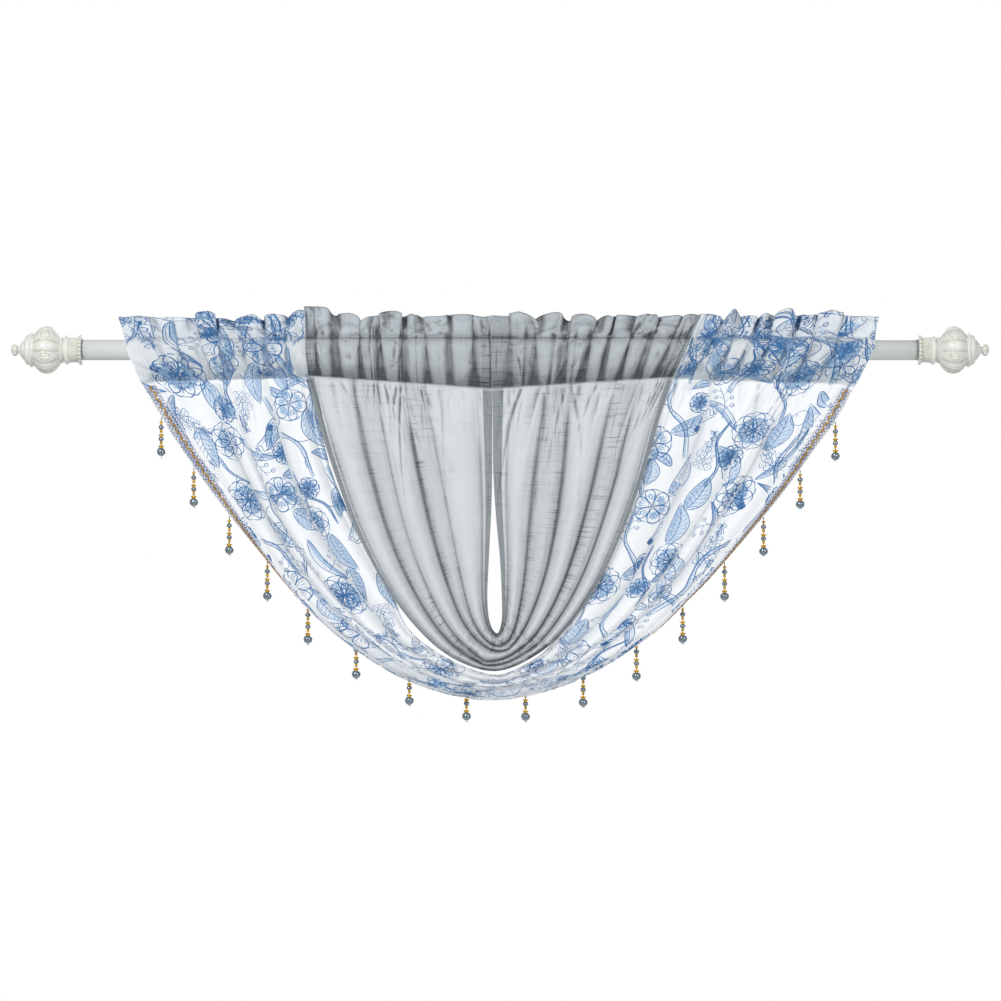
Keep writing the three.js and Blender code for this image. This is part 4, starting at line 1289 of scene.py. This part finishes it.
def full_bloom(radius):
    """A many-petalled flower: three rings of cupped petals, each with fine shading."""
    made = Drawing()
    for row, (reach, count, lines) in enumerate(((1.0, 8, 5), (0.66, 6, 3), (0.36, 4, 1))):
        for k in range(count):
            cupped = petal(radius * reach, radius * reach * 0.85, 0.12, lines, row == 0)
            made.add(cupped, 0, 360 * k / count + 21 * row)
    made.stroke(ring(radius * 0.12), 0.8, 0.8)
    return made


def trumpet(length):
    """A bell flower from the side, with its calyx and a rolled rim."""
    made = Drawing()
    t = np.linspace(0, 1, 24)
    half = length * (0.09 + 0.28 * t**2.6)
    for side in (-1, 1):
        made.stroke(length * t + 1j * side * half, 1.1, 0.6)
    for side in (-0.5, 0, 0.5):
        made.stroke(length * t[3:21] + 1j * side * half[3:21], 0.5, 0.45)
    made.wash((length * t + 1j * half)[:18], (length * t - 1j * half)[:18], 0.4)
    rim = length * (1.0 + 0.09 * np.cos(4 * math.pi * t)) + 0.9j * length * 0.42 * (2 * t - 1)
    made.stroke(rim, 1.0, 0.65)
    lip = length * (1.12 + 0.06 * np.cos(math.pi * (2 * t - 1))) + 0.8j * length * 0.4 * (2 * t - 1)
    made.stroke(lip, 0.9, 0.55)
    for side in (-1, 0, 1):
        made.add(leaf(length * 0.3, length * 0.09, 0, 0, 0, False), 0, 20 * side)
    return made


def berries(length, count=7):
    """A spray of berries on a bent stem."""
    made = Drawing()
    stem = bent([0, length * (0.5 + 0.12j), length * (1 + 0.02j)], 24)
    made.stroke(stem, 0.8, 0.6)
    for k in range(count):
        start = stem[4 + int(18 * k / count)]
        side = 1 if k % 2 else -1
        end = start + length * (0.1 + 0.17j * side)
        made.stroke([start, lerp(start, end, 0.6) + 0.02 * length, end], 0.6, 0.55)
        fruit = end + 0.05j * length * side
        made.stroke(fruit + ring(length * 0.055, 12), 0.85, 0.7)
        made.stroke(fruit + ring(length * 0.028, 8), 0.5, 0.5)
    return made


def raceme(length, width):
    """A hanging cluster of small scalloped flowers, narrower towards its tip."""
    made = Drawing()
    rows = int(length / 6)
    for k in range(rows):
        t = k / rows
        across = width * (0.35 + 0.65 * math.sin(math.pi * min(1, t + 0.25))) * (1 - 0.55 * t)
        for side in (-1, 0, 1):
            at = length * t + 0.5j * side * across
            size = 3.3 * (1 - 0.35 * t) * (1 + 0.25 * math.sin(5 * k + 2 * side))
            flower = at + size * 0.4j * math.sin(3 * k + side)
            turn = np.linspace(0, 2 * math.pi, 14)
            made.stroke(flower + size * (1 + 0.22 * np.cos(4 * turn + k)) * np.exp(1j * turn), 0.8, 0.6)
            made.stroke(flower + ring(size * 0.35, 7), 0.6, 0.6)
            made.stroke([length * (t - 0.12) + 0j, flower - size * 0.9], 0.5, 0.5)
    made.stroke([0, length * 0.5 + 1j, length], 0.7, 0.5)
    return made


def branch(points, width=3.6, twigs=()):
    """A woody branch: two uneven edges with hatching along its lower side."""
    made = Drawing()
    line = bent(points, 14 * len(points))
    along = np.gradient(line)
    square = 1j * along / np.abs(along)
    t = np.linspace(0, 1, len(line))
    half = width / 2 * (1.15 - 0.6 * t) * (1 + 0.16 * np.sin(19 * t) + 0.1 * np.sin(43 * t))
    made.stroke(line + square * half, 1.1, 0.7)
    made.stroke(line - square * half, 1.2, 0.75)
    made.wash(line + square * half * 0.3, line - square * half, 0.5)
    for k in range(2, len(line) - 3, 2):
        made.stroke([line[k], line[k + 1] - square[k + 1] * half[k + 1] * 0.9], 0.45, 0.5)
    for place, turn, length in twigs:
        start = line[int(place * (len(line) - 1))]
        spin = np.exp(1j * math.radians(turn))
        made.stroke(start + spin * bent([0, length * (0.5 + 0.1j), length], 12), 0.9, 0.6)
    return made


def tendril(size, turns=1.6):
    made = Drawing()
    t = np.linspace(0, 1, 40)
    made.stroke(size * (1 - t) ** 0.8 * np.exp(2j * math.pi * turns * t) + size * 0.9 * t, 0.75, 0.55)
    return made


LIMB_TWIGS = ((0.3, 50, 17), (0.6, -48, 20), (0.8, 40, 12))
MOTIFS = {
    "broad": lambda: leaf(52, 21, 0.12, 7),
    "toothed": lambda: leaf(40, 20, 0.08, 6, 8),
    "small": lambda: leaf(24, 9.5, 0.15, 4),
    "blade": lambda: blade(62, 9, 0.16),
    "bloom": lambda: bloom(19, 6),
    "daisy": lambda: bloom(13, 9, 0.26),
    "full": lambda: full_bloom(23),
    "trumpet": lambda: trumpet(27),
    "berries": lambda: berries(38),
    "raceme": lambda: raceme(46, 17),
    "tendril": lambda: tendril(11),
    "limb": lambda: branch([0, 34 + 9j, 70 - 2j, 104 + 13j], 4.2, LIMB_TWIGS),
    "twig": lambda: branch([0, 19 + 6j, 41 + 1j, 60 + 9j], 2.0, ((0.4, 45, 11), (0.7, -40, 12))),
}
REPEAT = (236.0, 330.0)
MOTIF_SIZE = 1.32
# The repeat: each motif's kind, flat place across and along the cloth, turn in degrees and size
LAYOUT = [
    ("limb", 14, 22, 62, 1.0),
    ("full", 62, 34, 20, 1.0),
    ("broad", 82, 50, 64, 1.0),
    ("broad", 40, 52, 128, 0.9),
    ("blade", 88, 22, 12, 0.9),
    ("small", 24, 14, 210, 1.0),
    ("daisy", 18, 78, 0, 0.9),
    ("berries", 60, 100, 75, 1.0),
    ("trumpet", 26, 104, 118, 1.0),
    ("limb", 128, 6, 96, 1.1),
    ("bloom", 146, 40, 12, 1.0),
    ("toothed", 152, 66, 40, 1.0),
    ("toothed", 112, 76, 140, 0.9),
    ("raceme", 118, 104, 80, 1.0),
    ("small", 160, 18, -20, 1.0),
    ("blade", 150, 108, 70, 1.0),
    ("full", 196, 92, 40, 0.95),
    ("broad", 212, 112, 78, 0.9),
    ("broad", 180, 72, 230, 0.8),
    ("twig", 196, 16, 60, 1.2),
    ("daisy", 214, 44, 30, 1.0),
    ("small", 202, 56, 100, 1.0),
    ("tendril", 92, 132, 60, 1.0),
    ("bloom", 42, 158, 30, 1.1),
    ("blade", 60, 166, 40, 1.0),
    ("broad", 24, 178, 100, 1.0),
    ("toothed", 62, 186, 82, 0.9),
    ("limb", 84, 156, 74, 1.0),
    ("trumpet", 118, 182, 40, 1.1),
    ("small", 96, 212, 150, 1.0),
    ("full", 146, 196, 10, 1.1),
    ("broad", 168, 206, 52, 1.0),
    ("berries", 150, 158, -40, 0.9),
    ("blade", 128, 222, 110, 1.0),
    ("toothed", 214, 164, 100, 1.0),
    ("twig", 206, 200, 84, 1.2),
    ("raceme", 222, 230, 96, 0.9),
    ("daisy", 186, 246, 0, 1.1),
    ("limb", 20, 236, 58, 1.0),
    ("bloom", 70, 252, 50, 1.1),
    ("broad", 92, 264, 70, 1.0),
    ("broad", 50, 270, 140, 0.9),
    ("small", 36, 222, 20, 1.1),
    ("trumpet", 18, 276, 120, 1.0),
    ("raceme", 112, 240, 40, 0.9),
    ("toothed", 136, 262, 90, 1.0),
    ("full", 172, 286, 25, 0.95),
    ("blade", 194, 284, 30, 0.9),
    ("berries", 214, 296, 70, 1.0),
    ("twig", 142, 300, 60, 1.0),
    ("tendril", 116, 306, 20, 1.0),
    ("daisy", 24, 318, 0, 1.0),
]


def whole_print(length, headings):
    """The repeat set down all along the cloth, and each run of it shifted sideways. On the headings,
    where the cloth is drawn in on the rod, more of it crowds together."""
    tile = Drawing()
    drawn = {name: make() for name, make in MOTIFS.items()}
    for kind, u, v, turn, size in LAYOUT:
        tile.add(drawn[kind], u + 1j * v, turn, size * MOTIF_SIZE)
    made = Drawing()
    for run in range(-1, math.ceil(length / REPEAT[1]) + 1):
        shift = (run * 0.37) % 1 * REPEAT[0]
        for across in (-1, 0, 1):
            made.add(tile, across * REPEAT[0] + shift - REPEAT[0] / 2 + 1j * run * REPEAT[1])
    crowded = Drawing()
    for run in range(-1, math.ceil(length / REPEAT[1]) + 2):
        for across in (-1, 0, 1):
            crowded.add(tile, (across - 0.2) * REPEAT[0] + 1j * (run - 0.45) * REPEAT[1], 0, 0.8)
            crowded.add(tile, (across + 0.3) * REPEAT[0] + 1j * (run - 0.75) * REPEAT[1], 0, 0.6)
    for strip in crowded.lines:
        along = np.concatenate([strip[0].imag, strip[1].imag])
        if any(start < along.min() and along.max() < end for start, end in headings):
            made.lines.append(strip)
    return made


def place_map(sheet, spans):
    """For each row of the cloth, the column of each flat mm across it. Where the cloth is drawn
    in, whole stretches of it lie hidden between the folds, and their columns are negative."""
    rows = len(sheet["v"])
    flat = np.arange(math.floor(sheet["u"][0]), math.ceil(sheet["u"][-1]) + 1.0)
    plain = np.interp(flat, sheet["u"], np.arange(len(sheet["u"])))
    found = np.repeat(plain[None], rows, axis=0)
    per = sheet["per_fold"]
    first = sheet["band"]
    crests = [first + per * k for k in sheet["crests"]]
    valleys = [first] + [first + per * k for k in sheet["valleys"]] + [len(sheet["u"]) - 1]
    for row in range(spans["left"], spans["right"]):
        line = sheet["grid"][row]
        arc = far_along(line)
        ease_in = min(row - spans["left"], spans["right"] - 1 - row) / (spans["right"] - spans["left"])
        amount = float(ease(ease_in / 0.12))
        for crest, left, right in zip(crests, valleys, valleys[1:]):
            inside = (flat >= sheet["u"][left]) & (flat < sheet["u"][right])
            away = flat[inside] - sheet["u"][crest]
            seen = np.where(away < 0, arc[crest] - arc[left], arc[right] - arc[crest])
            u_left, u_crest, u_right = (sheet["u"][k] for k in (left, crest, right))
            cut = np.where(away < 0, u_crest - u_left, u_right - u_crest)
            kept = lerp(seen / cut, np.maximum(1.0, seen / cut), amount)
            column = np.interp(arc[crest] + away * kept, arc, np.arange(len(arc)))
            hidden = (column < left - 0.01) | (column > right + 0.01)
            found[row, inside] = np.where(hidden, -1, column)
    return flat, found


def inked_mesh(name, strips, rungs, sheet, mapped, lift):
    """Flat strips of ink laid on the cloth as one mesh."""
    flat, found = mapped
    left, right = (np.concatenate([s[k] for s in strips]) for k in (0, 1))
    ink = np.concatenate([np.full(len(s[0]), s[2]) for s in strips])
    number = np.concatenate([np.full(len(s[0]), k) for k, s in enumerate(strips)])
    across = np.linspace(0, 1, rungs + 1)
    places = lerp(left[:, None], right[:, None], across)
    u, v = places.real, places.imag
    row = np.interp(v, sheet["v"], np.arange(len(sheet["v"])))
    i = np.clip(row.astype(int), 0, len(found) - 2)
    j = np.clip(u - flat[0], 0, len(flat) - 1.001)
    k = j.astype(int)
    near = found[i, k], found[i, np.minimum(k + 1, len(flat) - 1)]
    steady = (near[0] >= 0) & (near[1] >= 0) & (np.abs(near[1] - near[0]) < 5)
    column = lerp(near[0], near[1], j - k)
    good = steady & (u > flat[0]) & (u < flat[-1]) & (v > sheet["v"][0]) & (v < sheet["v"][-1])
    good = good.all(axis=1)
    joined = good[1:] & good[:-1] & (number[1:] == number[:-1])
    joined &= (np.abs(np.diff(column, axis=0)) < 9).all(axis=1)
    used = np.zeros(len(left), bool)
    used[1:] |= joined
    used[:-1] |= joined
    solid = on_sheet(sheet, row, np.maximum(column, 0), np.full(u.shape, lift))
    bm = bmesh.new()
    place = bm.verts.layers.int.new("place")
    rung_of = bm.verts.layers.int.new("rung")
    verts = {}
    for n in np.flatnonzero(used):
        verts[n] = bm.verts.new(solid[n, 0])
        verts[n][place] = int(n)
    edges = [bm.edges.new((verts[n], verts[n + 1])) for n in np.flatnonzero(joined)]
    for rung in range(1, rungs + 1):
        made = bmesh.ops.extrude_edge_only(bm, edges=edges)["geom"]
        for item in made:
            if isinstance(item, bmesh.types.BMVert):
                item[rung_of] = rung
        edges = [
            item
            for item in made
            if isinstance(item, bmesh.types.BMEdge) and all(end[rung_of] == rung for end in item.verts)
        ]
    mesh = finished(bm, name)
    ids, levels = (np.empty(len(mesh.vertices), int) for _ in range(2))
    mesh.attributes["place"].data.foreach_get("value", ids)
    mesh.attributes["rung"].data.foreach_get("value", levels)
    mesh.vertices.foreach_set("co", (solid[ids, levels] * MM).ravel())
    mesh.attributes.new("ink", "FLOAT", "POINT").data.foreach_set("value", ink[ids])
    for key in ("place", "rung"):
        mesh.attributes.remove(mesh.attributes[key])
    mesh.update()
    return mesh


def ink_on_cloth(name, light, dark, cover):
    """Printed ink. Its colour deepens with the ink attribute, and a grain of about 0.9 mm, the pitch
    at which the weave is drawn, breaks it up."""
    m = new_material(name)
    ink = node(m, "ShaderNodeAttribute", {"attribute_name": "ink"}).outputs["Fac"]
    place = node(m, "ShaderNodeTexCoord").outputs["Object"]
    grain = spread(m, noise(m, place, 1100.0, 2.0), 0.3, 0.7, -0.25, 0.25)
    colour = mixed(m, maths(m, "ADD", ink, grain), linear(light), linear(dark))
    face = node(m, "ShaderNodeBsdfPrincipled", Base_Color=colour, Roughness=0.9, Specular_IOR_Level=0.1)
    glow = node(m, "ShaderNodeBsdfTranslucent", Color=colour)
    solid = node(m, "ShaderNodeMixShader", i0=0.3, i1=face.outputs[0], i2=glow.outputs[0])
    clear = node(m, "ShaderNodeBsdfTransparent")
    share = spread(m, grain, -0.25, 0.25, cover - 0.12, cover + 0.08)
    surface = node(m, "ShaderNodeMixShader", i0=share, i1=clear.outputs[0], i2=solid.outputs[0])
    return output(m, surface.outputs[0])


along = printed_sheet["v"]
artwork = whole_print(
    along[-1], [(0, along[printed_spans["left"]]), (along[printed_spans["right"]], along[-1])]
)
mapped = place_map(printed_sheet, printed_spans)
# Thin dye: pale flat tints inside the motifs that let the cloth's folds show through
wash_ink = ink_on_cloth("pale blue wash print", "bfd8ee", "80add6", 0.5)
# Full dye: the mid to dark blue drawing, nearly opaque
line_ink = ink_on_cloth("blue line print", "6c9fcd", "255c95", 0.9)
for name, strips, rungs, lift, ink in (
    ("print_washes", artwork.washes, 3, 0.12, wash_ink),
    ("print_lines", artwork.lines, 1, 0.22, line_ink),
):
    piece = new_object(name, inked_mesh(name, strips, rungs, printed_sheet, mapped, lift))
    piece.data.materials.append(ink)
    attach(piece, "root")


STITCH_LIFTS = np.array([0.05, 0.35, 0.35, 0.05])


def stitches(name, sheet, spans, first, length=2.6, step=4.2):
    """Rows of stitches along each heading's two seams, as short raised threads on the cloth."""
    lines = []
    ruffle_end = grey["pocket_rows"] + 2 * grey["ruffle_rows"] - 2
    for row in (ruffle_end, spans["left"] - 1, spans["right"] + 1, len(sheet["v"]) - 1 - ruffle_end):
        seam = sheet["grid"][row, first:]
        far = far_along(seam)
        for start in np.arange(1, far[-1] - length, step):
            s = np.linspace(start, start + length, 4)
            column = first + np.interp(s, far, np.arange(len(far)))
            lines.append(on_sheet(sheet, np.full(4, float(row)), column, STITCH_LIFTS))
    return cords(name, lines, 0.22)


# Matt sewing thread, darker than its cloth: a fine dotted line along each seam
grey_thread = plain_material("grey sewing thread", "5d6264", 0.8)
# The same on the printed cloth, paler, so that its seams only just show
pale_thread = plain_material("pale blue sewing thread", "a9b8c8", 0.8)
sewn = {}
for name, sheet, spans, first, slot, thread in (
    ("grey_stitches", grey_sheet, grey_spans, 0, "plain_cloth", grey_thread),
    ("printed_stitches", printed_sheet, printed_spans, BAND_COLUMNS, "printed_cloth", pale_thread),
):
    sewn[slot] = new_object(name, stitches(name, sheet, spans, first))
    sewn[slot].data.materials.append(thread)
    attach(sewn[slot], "root")

for piece, cad, slot, flat in (
    (grey_cloth, "grey_swag", "plain_cloth", grey_flat),
    (printed_cloth, "printed_swag", "printed_cloth", printed_flat),
):
    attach(piece, "root")
    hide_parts(cad)

# Light, floor and camera
world = bpy.data.worlds.new("studio")
bpy.context.scene.world = world
world.use_nodes = True
tree = world.node_tree
tree.nodes.clear()
seen = tree.nodes.new("ShaderNodeLightPath")
bright = tree.nodes.new("ShaderNodeBackground")
bright.inputs[0].default_value = (1, 1, 1, 1)
bright.inputs[1].default_value = 1.0
soft = tree.nodes.new("ShaderNodeBackground")
soft.inputs[0].default_value = (0.95, 0.98, 1, 1)
soft.inputs[1].default_value = 0.5
choice = tree.nodes.new("ShaderNodeMixShader")
tree.links.new(seen.outputs["Is Camera Ray"], choice.inputs[0])
tree.links.new(soft.outputs[0], choice.inputs[1])
tree.links.new(bright.outputs[0], choice.inputs[2])
sky = tree.nodes.new("ShaderNodeOutputWorld")
tree.links.new(choice.outputs[0], sky.inputs[0])


def area_light(name, place, size, power):
    """A round white light, its size in metres and its power in watts, turned to the cloths."""
    lamp = bpy.data.lights.new(name, "AREA")
    lamp.shape = "DISK"
    lamp.size = size
    lamp.energy = power
    holder = bpy.data.objects.new(name, lamp)
    bpy.context.scene.collection.objects.link(holder)
    holder.location = place
    aim = Vector(LIGHTS_AIM) - Vector(place)
    holder.rotation_euler = aim.to_track_quat("-Z", "Y").to_euler()


area_light("key", (-1.6, -2.6, 1.4), 0.9, 76)
area_light("fill", (2.2, -2.8, 0.4), 1.6, 46)
area_light("back", (0.3, 2.2, 0.6), 1.6, 18)

bm = bmesh.new()
bmesh.ops.create_grid(bm, x_segments=1, y_segments=1, size=1.0)
bmesh.ops.translate(bm, verts=bm.verts, vec=(0, 0, FLOOR_HEIGHT))
floor_mesh = finished(bm, "floor")
floor = new_object("floor", floor_mesh, smooth=False)
# Matt paint: a white floor without a shine, so that it doesn't draw the eye
matt = new_material("matt white floor paint")
output(matt, node(matt, "ShaderNodeBsdfDiffuse", Color=linear("f4f4f2")).outputs[0])
floor.data.materials.append(matt)

camera_data = bpy.data.cameras.new("camera")
camera_data.lens = 135
camera_data.sensor_width = 36
distance = VIEW_WIDTH * camera_data.lens / camera_data.sensor_width
camera = bpy.data.objects.new("camera", camera_data)
bpy.context.scene.collection.objects.link(camera)
camera.location = (CAMERA_X, -distance, CAMERA_Z)
camera.rotation_euler = (math.pi / 2, 0, 0)
bpy.context.scene.camera = camera
bpy.context.scene.view_settings.view_transform = "Standard"
